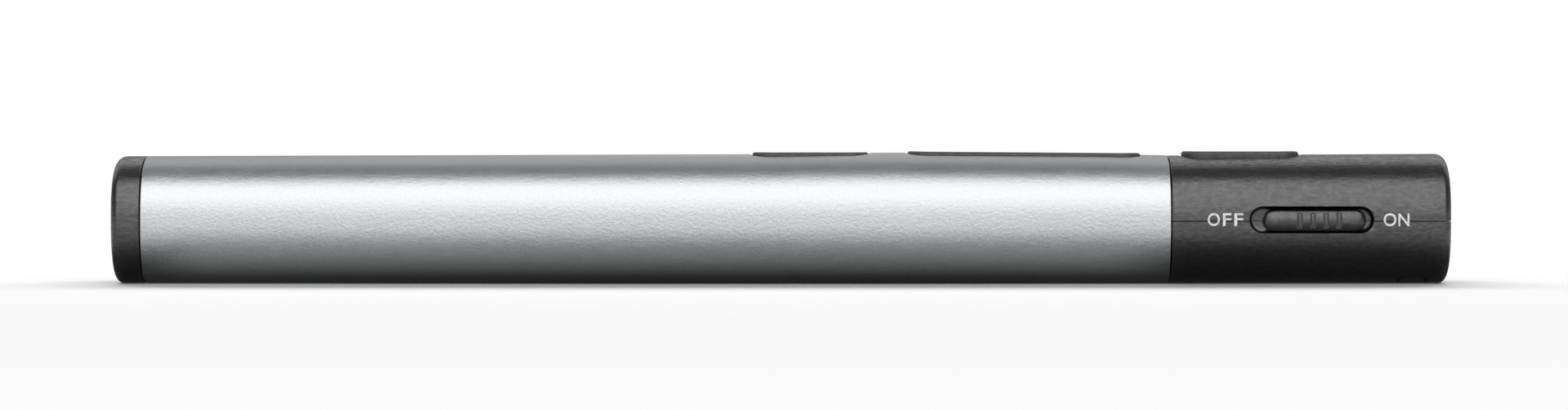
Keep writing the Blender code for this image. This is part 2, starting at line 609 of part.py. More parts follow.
def receiver():
    shape = slot_outline(RECEIVER_WIDTH, RECEIVER_HEIGHT, RECEIVER_ROUND)
    inner = slot_outline(RECEIVER_WIDTH - 2 * GRIP_GROOVE, RECEIVER_HEIGHT - 2 * GRIP_GROOVE, RECEIVER_ROUND)
    outlines = {False: [(y, MIDDLE_Z + z) for y, z in shape], True: [(y, MIDDLE_Z + z) for y, z in inner]}
    rings = [(RECEIVER_X, outlines[True]), (RECEIVER_X + GRIP_GROOVE, outlines[False])]
    for index in range(GRIP_GROOVE_COUNT):
        x = RECEIVER_X + GRIP_GROOVE * (GROOVE_START_SHARE + GROOVE_PITCH_SHARE * index)
        for offset, low in GROOVE_RING_SHARES:
            rings.append((x + GRIP_GROOVE * offset * GROOVE_STEP_SHARE, outlines[low]))
    rings.append((PLUG_X, outlines[False]))
    housing = loft("receiver_housing", rings, BLACK_SATIN)
    board_start = PLUG_X - RECEIVER_BODY_LENGTH / 2
    board_side = CONTACT_BOARD_WIDTH / 2
    board_half = CONTACT_BOARD_THICKNESS / 2
    pocket = block(
        "receiver board pocket",
        (board_start, -board_side - FIT, MIDDLE_Z - board_half - FIT),
        (PLUG_X + OVERRUN, board_side + FIT, MIDDLE_Z + board_half + FIT),
    )
    cut(housing, pocket)
    plug = prism(
        "receiver_plug_shell",
        PLUG_X + SEAM,
        PLUG_TIP_X,
        [(y, MIDDLE_Z + z) for y, z in slot_outline(PLUG_WIDTH, PLUG_HEIGHT, PLUG_SHEET)],
        BRIGHT_STEEL,
    )
    bore = slot_outline(PLUG_WIDTH - 2 * PLUG_SHEET, PLUG_HEIGHT - 2 * PLUG_SHEET, 0)
    hollow = prism(
        "plug hollow", PLUG_X - OVERRUN, PLUG_TIP_X + OVERRUN, [(y, MIDDLE_Z + z) for y, z in bore]
    )
    cut(plug, hollow)
    for side in (-1, 1):
        window_x = PLUG_TIP_X - PLUG_WINDOW_SET_BACK
        window = block(
            f"plug window {side}",
            (window_x - PLUG_WINDOW, (side * PLUG_WINDOW_PITCH - PLUG_WINDOW) / 2, 0),
            (window_x, (side * PLUG_WINDOW_PITCH + PLUG_WINDOW) / 2, HEIGHT),
        )
        cut(plug, window)
    block(
        "receiver_board",
        (board_start + FIT, -board_side, MIDDLE_Z - board_half),
        (PLUG_TIP_X - PLUG_SHEET, board_side, MIDDLE_Z + board_half),
        BOARD_GREEN,
    )
    for index in range(CONTACT_COUNT):
        y = CONTACT_PITCH * (index - (CONTACT_COUNT - 1) / 2)
        z = MIDDLE_Z + board_half + SEAM
        block(
            f"receiver_contact_{index + 1}",
            (PLUG_TIP_X - PLUG_SHEET - CONTACT_LENGTH, y - CONTACT_WIDTH / 2, z),
            (PLUG_TIP_X - 2 * PLUG_SHEET, y + CONTACT_WIDTH / 2, z + CONTACT_THICKNESS),
            GOLD,
        )


def battery():
    radius = CELL_DIAMETER / 2
    shoulder = CELL_LENGTH - CELL_NUB_LENGTH
    profile = [
        (0, 0),
        (0, radius - CELL_ROUND),
        (CELL_ROUND, radius),
        (shoulder - CELL_ROUND, radius),
        (shoulder, radius - CELL_ROUND),
        (shoulder, CELL_NUB_DIAMETER / 2),
        (CELL_LENGTH, CELL_NUB_DIAMETER / 2 * NUB_TAPER_SHARE),
        (CELL_LENGTH, 0),
    ]
    turned("battery_cell", profile, (CELL_X, 0, CELL_Z), (1, 0, 0), CELL_WRAP, WIDE_SIDES)
    half = CONTACT_PLATE_SIZE / 2
    block(
        "rear_contact_plate",
        (REAR_PLATE_X, -half, CELL_Z - half),
        (REAR_PLATE_X + CONTACT_PLATE_THICKNESS, half, CELL_Z + half),
        NICKEL,
    )
    block(
        "front_contact_plate",
        (FRONT_PLATE_X, -half, CELL_Z - half),
        (FRONT_PLATE_X + CONTACT_PLATE_THICKNESS, half, CELL_Z + half),
        NICKEL,
    )
    contact_spring()
    block(
        "return_strip",
        (CHASSIS_X + SEAT, -BOARD_WIDTH / 2, CHASSIS_CELL_TOP + SEAM),
        (END_WALL_X - SEAT, STRIP_WIDTH - BOARD_WIDTH / 2, CHASSIS_CELL_TOP + SEAM + STRIP_THICKNESS),
        NICKEL,
    )


def contact_spring():
    """A tapering coil between the rear plate and the cell."""
    steps = int(SPRING_TURNS * SPRING_STEPS_PER_TURN)
    rise = SPRING_FREE_LENGTH - SPRING_WIRE
    curve = bpy.data.curves.new("contact_spring", "CURVE")
    curve.dimensions = "3D"
    curve.bevel_depth = SPRING_WIRE / 2
    curve.bevel_resolution = 1
    curve.use_fill_caps = True
    spline = curve.splines.new("POLY")
    spline.points.add(steps)
    for step, point in enumerate(spline.points):
        share = step / steps
        angle = 2 * math.pi * SPRING_TURNS * share
        diameter = SPRING_BASE_DIAMETER + (SPRING_TIP_DIAMETER - SPRING_BASE_DIAMETER) * share
        x = SPRING_X + SPRING_WIRE / 2 + rise * share
        radius = (diameter - SPRING_WIRE) / 2
        point.co = (x, radius * math.cos(angle), CELL_Z + radius * math.sin(angle), 1)
    curve.materials.append(NICKEL)
    made = bpy.data.objects.new("contact_spring", curve)
    bpy.context.scene.collection.objects.link(made)
    print("least gap between the turns of the spring:", round(rise / SPRING_TURNS - SPRING_WIRE, 6), "m")


def chassis():
    """The inner carrier: a cradle for the cell, an end wall and rails for the board."""
    full = section(CHASSIS_INSET, CHASSIS_X)
    carrier = prism("chassis", CHASSIS_X, END_WALL_X, clipped(full, high=CHASSIS_CELL_TOP), GREY_PLASTIC)
    tray = prism(
        "board tray", END_WALL_X - OVERRUN, CHASSIS_FRONT_X, clipped(full, high=CHASSIS_RAIL_TOP)
    )
    end_wall = block(
        "chassis end wall",
        (END_WALL_X, -CELL_DIAMETER / 2, MIDDLE_Z),
        (END_WALL_X + CHASSIS_END_WALL, CELL_DIAMETER / 2, CHASSIS_END_TOP),
    )
    pocket_radius = CELL_DIAMETER / 2 + SEAT
    pocket_end = END_WALL_X + SEAT / 2
    start = (CHASSIS_X - OVERRUN, 0, CELL_Z)
    pocket = rod("cell pocket", start, (pocket_end, 0, CELL_Z), pocket_radius, sides=WIDE_SIDES)
    mouth = block(
        "cell mouth", (CHASSIS_X - OVERRUN, -pocket_radius, CELL_Z), (END_WALL_X, pocket_radius, HEIGHT)
    )
    inside = section(CHASSIS_INSET + CHASSIS_FLOOR, CHASSIS_X)
    ledge = BOARD_WIDTH / 2 - CHASSIS_RAIL_DEPTH
    well = prism(
        "board well",
        END_WALL_X + CHASSIS_END_WALL,
        CHASSIS_FRONT_X + OVERRUN,
        clipped(inside, half_width=ledge, high=HEIGHT),
    )
    shelf = block(
        "board shelf",
        (END_WALL_X + CHASSIS_END_WALL, -BOARD_WIDTH / 2 - FIT, BOARD_UNDERSIDE - SEAT),
        (CHASSIS_FRONT_X + OVERRUN, BOARD_WIDTH / 2 + FIT, HEIGHT),
    )
    join(carrier, tray)
    cut(carrier, pocket, mouth, well, shelf)
    join(carrier, end_wall)
    span = CELL_LENGTH / (CHASSIS_RIB_COUNT + 1)
    for index in range(CHASSIS_RIB_COUNT):
        x = CELL_X + span * (index + 1)
        for side in (-1, 1):
            slot = block(
                f"chassis lightening {index} {side}",
                (x - span / 2 + CHASSIS_RIB, side * (pocket_radius + CHASSIS_RIB), MIDDLE_Z),
                (x + span / 2 - CHASSIS_RIB, side * SIDE_Y, CHASSIS_CELL_TOP - CHASSIS_RIB),
            )
            cut(carrier, slot)
    for side in (-1, 1):
        boss = rod(
            f"board boss {side}",
            (BOARD_SCREW_REAR_X, side * BOARD_SCREW_REAR_Y, CHASSIS_INSET + CHASSIS_FLOOR),
            (BOARD_SCREW_REAR_X, side * BOARD_SCREW_REAR_Y, BOARD_UNDERSIDE - SEAT),
            SCREW_BOSS_DIAMETER / 2,
        )
        join(carrier, boss)
    for side in (-1, 1):
        cut(carrier, screw_hole("chassis screw hole", BOARD_SCREW_REAR_X, side * BOARD_SCREW_REAR_Y))
    return carrier


def screw_hole(name, x, y):
    radius = SCREW_DIAMETER / 2 + FIT
    bottom = BOARD_TOP - SCREW_LENGTH - SEAT
    return rod(name, (x, y, bottom), (x, y, BOARD_TOP + OVERRUN), radius, sides=SMALL_SIDES)


def main_board():
    step_x = CHASSIS_FRONT_X - SEAT
    wide = BOARD_WIDTH / 2
    narrow = BOARD_FRONT_WIDTH / 2
    outline = [(BOARD_X, -wide), (step_x, -wide), (step_x, -narrow), (BOARD_FRONT_X, -narrow)]
    outline += [(x, -y) for x, y in reversed(outline)]
    board = stacked("main_board", (0, 0), [(BOARD_UNDERSIDE, outline), (BOARD_TOP, outline)], BOARD_GREEN)
    for side in (-1, 1):
        cut(board, screw_hole("board rear hole", BOARD_SCREW_REAR_X, side * BOARD_SCREW_REAR_Y))
        cut(board, screw_hole("board front hole", BOARD_SCREW_FRONT_X, side * BOARD_SCREW_FRONT_Y))
    under = BOARD_UNDERSIDE - SEAM
    chips = (
        ("control_chip", CONTROL_CHIP_X, CONTROL_CHIP_SIZE),
        ("radio_chip", RADIO_CHIP_X, RADIO_CHIP_SIZE),
    )
    for name, x, size in chips:
        half = size / 2
        block(name, (x - half, -half, under - CHIP_HEIGHT), (x + half, half, under), CHIP_BLACK)
    block(
        "crystal",
        (CRYSTAL_X - CRYSTAL_LENGTH / 2, -CRYSTAL_WIDTH / 2, under - CRYSTAL_HEIGHT),
        (CRYSTAL_X + CRYSTAL_LENGTH / 2, CRYSTAL_WIDTH / 2, under),
        BRIGHT_STEEL,
        bevel=CRYSTAL_HEIGHT * CRYSTAL_ROUND_SHARE,
    )


def snap_dome(name, x):
    """A thin sprung metal cap that clicks when a key's boss flattens it."""
    outer = []
    base = BOARD_TOP + SEAT / 2
    radius = DOME_DIAMETER / 2
    for step in range(DOME_STEPS + 1):
        share = step / DOME_STEPS
        outer.append((DOME_HEIGHT * math.sin(math.pi / 2 * share), radius * math.cos(math.pi / 2 * share)))
    inner = [(max(along - DOME_SHEET, 0), max(out - DOME_SHEET, 0)) for along, out in outer]
    profile = [*reversed(outer), *inner]
    turned(name, profile, (x, 0, base), (0, 0, 1), BRIGHT_STEEL, SMALL_SIDES)


def key_layers(length, top, boss_length):
    """Outlines of a key from its boss up: boss, retaining flange, cap."""
    cap = slot_outline(length, KEY_WIDTH, KEY_CORNER)
    flange = slot_outline(length + 2 * KEY_FLANGE, KEY_WIDTH + 2 * KEY_FLANGE, KEY_CORNER + KEY_FLANGE)
    layers = [(KEY_FLANGE_TOP - KEY_FLANGE_THICKNESS, flange), (KEY_FLANGE_TOP, flange)]
    if boss_length:
        boss = slot_outline(boss_length, KEY_BOSS_WIDTH, KEY_BOSS_WIDTH / 2)
        layers[:0] = [(BOSS_Z, boss), (KEY_FLANGE_TOP - KEY_FLANGE_THICKNESS, boss)]
    return [*layers, (KEY_FLANGE_TOP, cap), (top, cap)]


def key_crown(name, middle_x, length, proud):
    """The curved block that gives a key its top: the back of the body raised by proud, its ends eased."""
    half = length / 2
    rings = []
    for step in range(KEY_CROWN_STEPS + 1):
        share = 2 * step / KEY_CROWN_STEPS - 1
        x = middle_x + share * (half + OVERRUN)
        rings.append((x, section(-proud, x)))
    return loft(name, rings)


def plain_key(name, x, length, proud, look):
    key = stacked(name, (x, 0), key_layers(length, HEIGHT + 2 * OVERRUN, KEY_BOSS_LENGTH), look)
    return keep_inside(key, key_crown(f"{name} crown", x, length, proud))


def rocker():
    key = stacked("page_rocker", (ROCKER_X, 0), key_layers(ROCKER_LENGTH, HEIGHT + 2 * OVERRUN, 0), KEY_GREY)
    keep_inside(key, key_crown("page_rocker crown", ROCKER_X, ROCKER_LENGTH, KEY_PROUD))
    foot = KEY_FLANGE_TOP - KEY_FLANGE_THICKNESS / 2
    boss_outline = slot_outline(KEY_BOSS_LENGTH, KEY_BOSS_WIDTH, KEY_BOSS_WIDTH / 2)
    for x in (PAGE_BACK_X, PAGE_FORWARD_X):
        join(key, stacked(f"rocker boss {x:.4f}", (x, 0), [(BOSS_Z, boss_outline), (foot, boss_outline)]))
    rib = block(
        "rocker rib",
        (ROCKER_X - ROCKER_RIB / 2, -KEY_BOSS_WIDTH, PIVOT_Z - PIVOT_PIN_DIAMETER),
        (ROCKER_X + ROCKER_RIB / 2, KEY_BOSS_WIDTH, foot),
    )
    join(key, rib)
    bore_radius = PIVOT_PIN_DIAMETER / 2 + PIVOT_PLAY
    start, end = (ROCKER_X, -WIDTH, PIVOT_Z), (ROCKER_X, WIDTH, PIVOT_Z)
    cut(key, rod("rocker bore", start, end, bore_radius, sides=SMALL_SIDES))
    return key


def pivot_pin():
    half = PIVOT_PIN_LENGTH / 2
    rod(
        "rocker_pivot_pin",
        (ROCKER_X, -half, PIVOT_Z),
        (ROCKER_X, half, PIVOT_Z),
        PIVOT_PIN_DIAMETER / 2,
        BRIGHT_STEEL,
        sides=SMALL_SIDES,
        bevel=PIVOT_PIN_DIAMETER * PIN_BEVEL_SHARE,
    )


def key_frame():
    """The plate under the keys of the tube: windows for their bosses, ears for the pivot pin, posts below."""
    half = KEY_FRAME_WIDTH / 2
    frame = block(
        "key_frame",
        (END_WALL_X, -half, KEY_FRAME_UNDERSIDE),
        (CHASSIS_FRONT_X, half, KEY_FRAME_TOP),
        GREY_PLASTIC,
    )
    ear_half = PIVOT_PIN_DIAMETER / 2 + PIVOT_PLAY + PIVOT_EAR_WALL
    posts = (SCREEN_KEY_X, ROCKER_X - ROCKER_LENGTH / 2, ROCKER_X + KEY_FRAME_POST, PAGE_FORWARD_X)
    for side in (-1, 1):
        ear = block(
            f"pivot ear {side}",
            (ROCKER_X - ear_half, min(side * EAR_INNER_Y, side * EAR_OUTER_Y), PIVOT_Z - ear_half),
            (ROCKER_X + ear_half, max(side * EAR_INNER_Y, side * EAR_OUTER_Y), PIVOT_Z + ear_half - SEAT / 2),
        )
        join(frame, ear)
        middle = side * (half - KEY_FRAME_POST / 2)
        for x in posts:
            post = block(
                f"frame post {x:.4f} {side}",
                (x - KEY_FRAME_POST / 2, middle - KEY_FRAME_POST / 2, BOARD_TOP + SEAM),
                (x + KEY_FRAME_POST / 2, middle + KEY_FRAME_POST / 2, KEY_FRAME_TOP),
            )
            join(frame, post)
    window_width = KEY_BOSS_WIDTH + 2 * SEAT
    for x in (SCREEN_KEY_X, PAGE_BACK_X, PAGE_FORWARD_X):
        outline = slot_outline(KEY_BOSS_LENGTH + 2 * SEAT, window_width, window_width / 2)
        layers = [(BOARD_TOP, outline), (HEIGHT, outline)]
        cut(frame, stacked(f"boss window {x:.4f}", (x, 0), layers))
    rib_window = block(
        "rib window",
        (ROCKER_X - ROCKER_RIB / 2 - SEAT, -EAR_INNER_Y, BOARD_TOP),
        (ROCKER_X + ROCKER_RIB / 2 + SEAT, EAR_INNER_Y, HEIGHT),
    )
    bore_radius = PIVOT_PIN_DIAMETER / 2 + PIVOT_PLAY
    start, end = (ROCKER_X, -WIDTH, PIVOT_Z), (ROCKER_X, WIDTH, PIVOT_Z)
    bore = rod("ear bore", start, end, bore_radius, sides=SMALL_SIDES)
    return cut(frame, rib_window, bore)


def housing_shell(name, upper):
    """One half of the front housing, split at the parting line, with its share of the neck and nose."""
    seam_x = HOUSING_SEAM_X + SEAM
    collar_x = seam_x + COLLAR_LENGTH
    slim = section(TUBE_WALL + FIT, HOUSING_SEAM_X)
    neck_hole = section(TUBE_WALL + FIT + NECK_WALL, HOUSING_SEAM_X)
    rings = [(HOUSING_SEAM_X - NECK_LENGTH, slim), (seam_x, slim), (seam_x, section(0, HOUSING_SEAM_X))]
    rings += [(x, section(0, x)) for x in housing_stations()]
    shell = loft(name, [*rings, *reversed(end_rings(NOSE_X, -1))], BLACK_SATIN)
    hollow = [(HOUSING_SEAM_X - NECK_LENGTH - OVERRUN, neck_hole), (collar_x, neck_hole)]
    hollow += [(x, section(HOUSING_WALL, x)) for x in (collar_x, *housing_stations()[1:], NOSE_X - NOSE_WALL)]
    cut(shell, loft(f"{name} cavity", hollow), *rocker_relief(name))
    inner_reach = SWITCH_RECESS_LENGTH / 2 + SWITCH_FLOOR_WALL
    pad = block(
        f"{name} switch pad",
        (SWITCH_RECESS_X - inner_reach, HOUSING_WALL / 2 - SIDE_Y, SWITCH_Z - SWITCH_RECESS_HEIGHT),
        (SWITCH_RECESS_X + inner_reach, SWITCH_PAD_Y, SWITCH_Z + SWITCH_RECESS_HEIGHT),
    )
    join(shell, pad)
    for side in (-1, 1):
        boss_top = HEIGHT - HOUSING_WALL * BOSS_TOP_SHARE
        boss_bottom = PARTING_Z - OVERRUN if upper else HOUSING_SCREW_SINK * BOSS_FLOOR_SHARE
        x, y = HOUSING_SCREW_X, side * HOUSING_SCREW_Y
        tag = f"{name} screw boss {side}"
        join(shell, round_post(tag, x, y, boss_bottom, boss_top, HOUSING_BOSS_DIAMETER))
        if not upper:
            x, y = BOARD_SCREW_FRONT_X, side * BOARD_SCREW_FRONT_Y
            boss_bottom = TUBE_WALL + FIT + NECK_WALL * BOSS_SINK_SHARE
            boss_top = BOARD_UNDERSIDE - SEAT
            tag = f"front board boss {side}"
            join(shell, round_post(tag, x, y, boss_bottom, boss_top, SCREW_BOSS_DIAMETER))
    saddle = block(
        f"{name} laser saddle",
        (SADDLE_X - SADDLE_WIDTH / 2, -LASER_DIAMETER / 2 - SADDLE_WIDTH, HOUSING_WALL / 2),
        (SADDLE_X + SADDLE_WIDTH / 2, LASER_DIAMETER / 2 + SADDLE_WIDTH, HEIGHT - HOUSING_WALL / 2),
    )
    join(shell, saddle)
    barrel_room = rod(
        f"{name} barrel room",
        (SADDLE_X - SADDLE_WIDTH, 0, LASER_Z),
        (SADDLE_X + SADDLE_WIDTH, 0, LASER_Z),
        LASER_DIAMETER / 2 + FIT,
        sides=WIDE_SIDES,
    )
    cut(shell, barrel_room, nose_aperture(name), *switch_openings(name))
    for side in (-1, 1):
        cut(shell, *housing_screw_holes(name, side))
        if not upper:
            cut(shell, screw_hole("front boss hole", BOARD_SCREW_FRONT_X, side * BOARD_SCREW_FRONT_Y))
    if upper:
        cut(shell, key_opening("laser key opening", LASER_KEY_X, LASER_KEY_LENGTH))
    away = block(
        f"{name} other half",
        (CHASSIS_FRONT_X - OVERRUN, -WIDTH, -OVERRUN if upper else PARTING_Z - HOUSING_PARTING),
        (NOSE_X + OVERRUN, WIDTH, PARTING_Z + HOUSING_PARTING if upper else HEIGHT + OVERRUN),
    )
    return cut(shell, away)


def round_post(name, x, y, bottom, top, diameter):
    return rod(name, (x, y, bottom), (x, y, top), diameter / 2, sides=SMALL_SIDES)


def rocker_relief(tag):
    """Room in the neck for the front end of the rocker."""
    half = KEY_WIDTH / 2 + KEY_FLANGE + SEAT
    low = (HOUSING_SEAM_X - NECK_LENGTH - OVERRUN, -half, BOARD_TOP)
    high = (ROCKER_X + ROCKER_LENGTH / 2 + KEY_FLANGE + SEAT, half, HEIGHT)
    return [block(f"{tag} rocker relief", low, high)]


def nose_aperture(tag):
    """The laser's way out, with a wider seat for the window in front."""
    hole = APERTURE_DIAMETER / 2
    seat = (WINDOW_DIAMETER + FIT) / 2
    start_x = NOSE_X - NOSE_WALL - OVERRUN
    step = NOSE_X - WINDOW_SET_BACK - WINDOW_THICKNESS - SEAM - start_x
    end = NOSE_WALL + 2 * OVERRUN
    profile = [(0, 0), (0, hole), (step, hole), (step, seat), (end, seat), (end, 0)]
    return turned(f"{tag} aperture", profile, (start_x, 0, LASER_Z), (1, 0, 0), sides=WIDE_SIDES)


def housing_stations():
    first = HOUSING_SEAM_X + END_ROUND
    last = NOSE_X - NOSE_WALL - END_ROUND
    return [first + (last - first) * step / HOUSING_STEPS for step in range(HOUSING_STEPS)]


def side_stack(name, x, layers, look=None):
    """A closed solid of outlines drawn in X and Z on the side of the body: layers of (y, outline)."""
    loops = [[(x + across, y, SWITCH_Z + up) for across, up in outline] for y, outline in layers]
    return skinned(name, loops, look)


def side_prism(name, x, near_y, far_y, outline):
    return side_stack(name, x, [(near_y, outline), (far_y, outline)])


def switch_openings(tag):
    recess = slot_outline(SWITCH_RECESS_LENGTH, SWITCH_RECESS_HEIGHT, SWITCH_RECESS_HEIGHT / 2, RECESS_STEPS)
    stem = slot_outline(
        KNOB_STEM_LENGTH + SWITCH_TRAVEL + 2 * FIT, KNOB_STEM_HEIGHT + 2 * FIT, KNOB_STEM_HEIGHT / 2 + FIT
    )
    middle = KNOB_X - SWITCH_TRAVEL / 2
    return (
        side_prism(f"{tag} switch recess", SWITCH_RECESS_X, -SIDE_Y - OVERRUN, RECESS_FLOOR_Y, recess),
        side_prism(f"{tag} stem slot", middle, -SIDE_Y, SWITCH_PAD_Y + OVERRUN, stem),
    )


def housing_screw_holes(tag, side):
    x, y = HOUSING_SCREW_X, side * HOUSING_SCREW_Y
    return (
        rod(f"{tag} screw sink {side}", (x, y, -OVERRUN), (x, y, HOUSING_SCREW_SINK), SINK_RADIUS),
        rod(
            f"{tag} screw bore {side}",
            (x, y, -OVERRUN),
            (x, y, HOUSING_SCREW_SINK + HOUSING_SCREW_LENGTH + SEAT),
            SCREW_DIAMETER / 2 + FIT,
            sides=SMALL_SIDES,
        ),
    )


def switch_knob():
    """The knob with its crowned grip, ribs, stem and the fork that carries the lever of the switch."""
    crown_y = -SIDE_Y + KNOB_SET_IN
    layers = []
    for step in range(KNOB_CROWN_STEPS + 1):
        angle = math.pi / 2 * step / KNOB_CROWN_STEPS
        drawn_in = KNOB_CROWN * KNOB_CROWN_REACH * (1 - math.cos(angle))
        outline = slot_outline(KNOB_LENGTH - 2 * drawn_in, KNOB_HEIGHT - 2 * drawn_in, KNOB_HEIGHT / 2)
        layers.append((crown_y + KNOB_CROWN * (1 - math.sin(angle)), outline))
    layers.insert(0, (RECESS_FLOOR_Y - FIT / 2, layers[0][1]))
    knob = side_stack("switch_knob", KNOB_X, layers, BLACK_SATIN)
    for index in range(KNOB_RIB_COUNT):
        x = KNOB_X + KNOB_RIB_GROUP_SHIFT + KNOB_RIB_PITCH * (index - (KNOB_RIB_COUNT - 1) / 2)
        outline = slot_outline(KNOB_RIB_WIDTH, KNOB_RIB_HEIGHT, KNOB_RIB_WIDTH / 2, RIB_STEPS)
        layers = [(crown_y - KNOB_RIB_PROUD, outline), (crown_y + KNOB_CROWN, outline)]
        join(knob, side_stack(f"knob rib {index}", x, layers))
    stem = slot_outline(KNOB_STEM_LENGTH, KNOB_STEM_HEIGHT, KNOB_STEM_HEIGHT / 2)
    fork = slot_outline(KNOB_FORK_LENGTH, KNOB_FORK_HEIGHT, SEAT)
    fork_y = SWITCH_PAD_Y + FIT
    join(
        knob,
        side_prism("knob stem", KNOB_X, RECESS_FLOOR_Y - FIT, fork_y + FIT, stem),
        side_prism("knob fork", KNOB_X, fork_y, fork_y + KNOB_FORK_DEPTH, fork),
    )
    grip = slot_outline(LEVER_LENGTH + 2 * FIT, LEVER_HEIGHT + 2 * FIT, 0)
    return cut(knob, side_prism("lever pocket", KNOB_X, fork_y, fork_y + KNOB_FORK_DEPTH + OVERRUN, grip))


def slide_switch():
    half = SWITCH_BODY_LENGTH / 2
    top = BOARD_UNDERSIDE - SEAM
    body = block(
        "slide_switch_body",
        (SWITCH_BODY_X - half, SWITCH_BODY_FACE_Y, top - SWITCH_BODY_HEIGHT),
        (SWITCH_BODY_X + half, SWITCH_BODY_FACE_Y + SWITCH_BODY_WIDTH, top),
        BRIGHT_STEEL,
        bevel=SWITCH_BODY_HEIGHT * SWITCH_BODY_ROUND_SHARE,
    )
    slot = slot_outline(LEVER_LENGTH + SWITCH_TRAVEL + 2 * FIT, LEVER_HEIGHT + 2 * FIT, 0)
    slot_floor = SWITCH_BODY_FACE_Y + SWITCH_SLOT_DEPTH
    cut(body, side_prism("lever slot", SWITCH_BODY_X, SWITCH_BODY_FACE_Y - OVERRUN, slot_floor, slot))
    block(
        "slide_switch_lever",
        (KNOB_X - LEVER_LENGTH / 2, SWITCH_PAD_Y + 2 * FIT, SWITCH_Z - LEVER_HEIGHT / 2),
        (KNOB_X + LEVER_LENGTH / 2, slot_floor - SEAT, SWITCH_Z + LEVER_HEIGHT / 2),
        BLACK_SATIN,
    )


def laser():
    radius = LASER_DIAMETER / 2
    bore = radius - LASER_WALL
    chamfer = LASER_WALL / 2
    profile = [
        (0, bore),
        (0, radius - chamfer),
        (chamfer, radius),
        (LASER_LENGTH - chamfer, radius),
        (LASER_LENGTH, radius - chamfer),
        (LASER_LENGTH, bore),
    ]
    turned("laser_barrel", profile, (LASER_X, 0, LASER_Z), (1, 0, 0), BRASS, WIDE_SIDES)
    front = LASER_X + LASER_LENGTH
    ring_profile = [
        (0, LENS_RING_BORE / 2),
        (0, bore - FIT / 2),
        (LENS_RING_WIDTH, bore - FIT / 2),
        (LENS_RING_WIDTH, LENS_RING_BORE / 2),
    ]
    turned("laser_lens_ring", ring_profile, (front - LENS_SET_BACK + SEAM, 0, LASER_Z), (1, 0, 0), BRASS)
    rim = LENS_THICKNESS * LENS_RIM_SHARE
    lens_profile = [(0, 0)]
    for step in range(LENS_STEPS + 1):
        angle = math.pi / 2 * step / LENS_STEPS
        lens_profile.append(
            ((LENS_THICKNESS - rim) / 2 * (1 - math.cos(angle)), LENS_DIAMETER / 2 * math.sin(angle))
        )
    lens_profile += [(LENS_THICKNESS - along, out) for along, out in reversed(lens_profile[1:])]
    lens_x = front - LENS_SET_BACK - LENS_THICKNESS
    turned("laser_lens", lens_profile[1:], (lens_x, 0, LASER_Z), (1, 0, 0), CLEAR)
    step_x = DIODE_LENGTH * DIODE_FLANGE_SHARE
    diode_profile = [
        (0, 0),
        (0, bore - FIT / 2),
        (step_x, bore - FIT / 2),
        (step_x, DIODE_DIAMETER / 2),
        (DIODE_LENGTH, DIODE_DIAMETER / 2),
        (DIODE_LENGTH, 0),
    ]
    turned("laser_diode", diode_profile, (LASER_X + SEAT, 0, LASER_Z), (1, 0, 0), NICKEL)
    window_x = NOSE_X - WINDOW_SET_BACK - WINDOW_THICKNESS
    edge = WINDOW_THICKNESS / 4
    rod(
        "nose_window",
        (window_x, 0, LASER_Z),
        (window_x + WINDOW_THICKNESS, 0, LASER_Z),
        WINDOW_DIAMETER / 2,
        CLEAR,
        sides=WIDE_SIDES,
        bevel=edge,
    )


def screw(name, x, y, seat_z, length, upwards):
    """A pan-head screw with a cross recess, its head under seat_z or, pointing down, over it."""
    head = SCREW_HEAD_DIAMETER / 2
    shank = SCREW_DIAMETER / 2
    eased = SCREW_HEAD_HEIGHT / 3
    profile = [
        (0, 0),
        (0, head - eased),
        (eased, head),
        (SCREW_HEAD_HEIGHT, head),
        (SCREW_HEAD_HEIGHT, shank),
        (SCREW_HEAD_HEIGHT + length - shank, shank),
        (SCREW_HEAD_HEIGHT + length, shank / 4),
        (SCREW_HEAD_HEIGHT + length, 0),
    ]
    direction = 1 if upwards else -1
    base_z = seat_z - direction * (SCREW_HEAD_HEIGHT + SEAM)
    made = turned(name, profile, (x, y, base_z), (0, 0, direction), DARK_STEEL, SMALL_SIDES)
    reach = head * CROSS_REACH_SHARE
    arm = head * CROSS_ARM_SHARE
    depth = direction * SCREW_HEAD_HEIGHT / 2
    for index, (across, along) in enumerate(((reach, arm), (arm, reach))):
        low = (x - across, y - along, min(base_z - direction * OVERRUN, base_z + depth))
        high = (x + across, y + along, max(base_z - direction * OVERRUN, base_z + depth))
        cut(made, block(f"{name} cross {index}", low, high))
    return made


def sink_plug(name, x, y):
    """A plug over a screw's head, its face flush with the underside of the housing."""
    top = HOUSING_SCREW_SINK - SCREW_HEAD_HEIGHT - SEAM - SEAT
    radius = SINK_RADIUS - SEAM
    plug = rod(name, (x, y, -OVERRUN), (x, y, top), radius, BLACK_SATIN)
    mould = prism(f"{name} mould", x - 2 * radius, x + 2 * radius, section(0, x))
    return keep_inside(plug, mould)


def screws():
    for index, side in enumerate((-1, 1)):
        y = side * BOARD_SCREW_REAR_Y
        screw(f"board_screw_{index + 1}", BOARD_SCREW_REAR_X, y, BOARD_TOP, SCREW_LENGTH, False)
        y = side * BOARD_SCREW_FRONT_Y
        screw(f"board_screw_{index + 3}", BOARD_SCREW_FRONT_X, y, BOARD_TOP, SCREW_LENGTH, False)
        y = side * HOUSING_SCREW_Y
        name = f"housing_screw_{index + 1}"
        screw(name, HOUSING_SCREW_X, y, HOUSING_SCREW_SINK, HOUSING_SCREW_LENGTH, True)
        sink_plug(f"housing_plug_{index + 1}", HOUSING_SCREW_X, y)


def clear_scene():
    for made in list(bpy.data.objects):
        bpy.data.objects.remove(made)


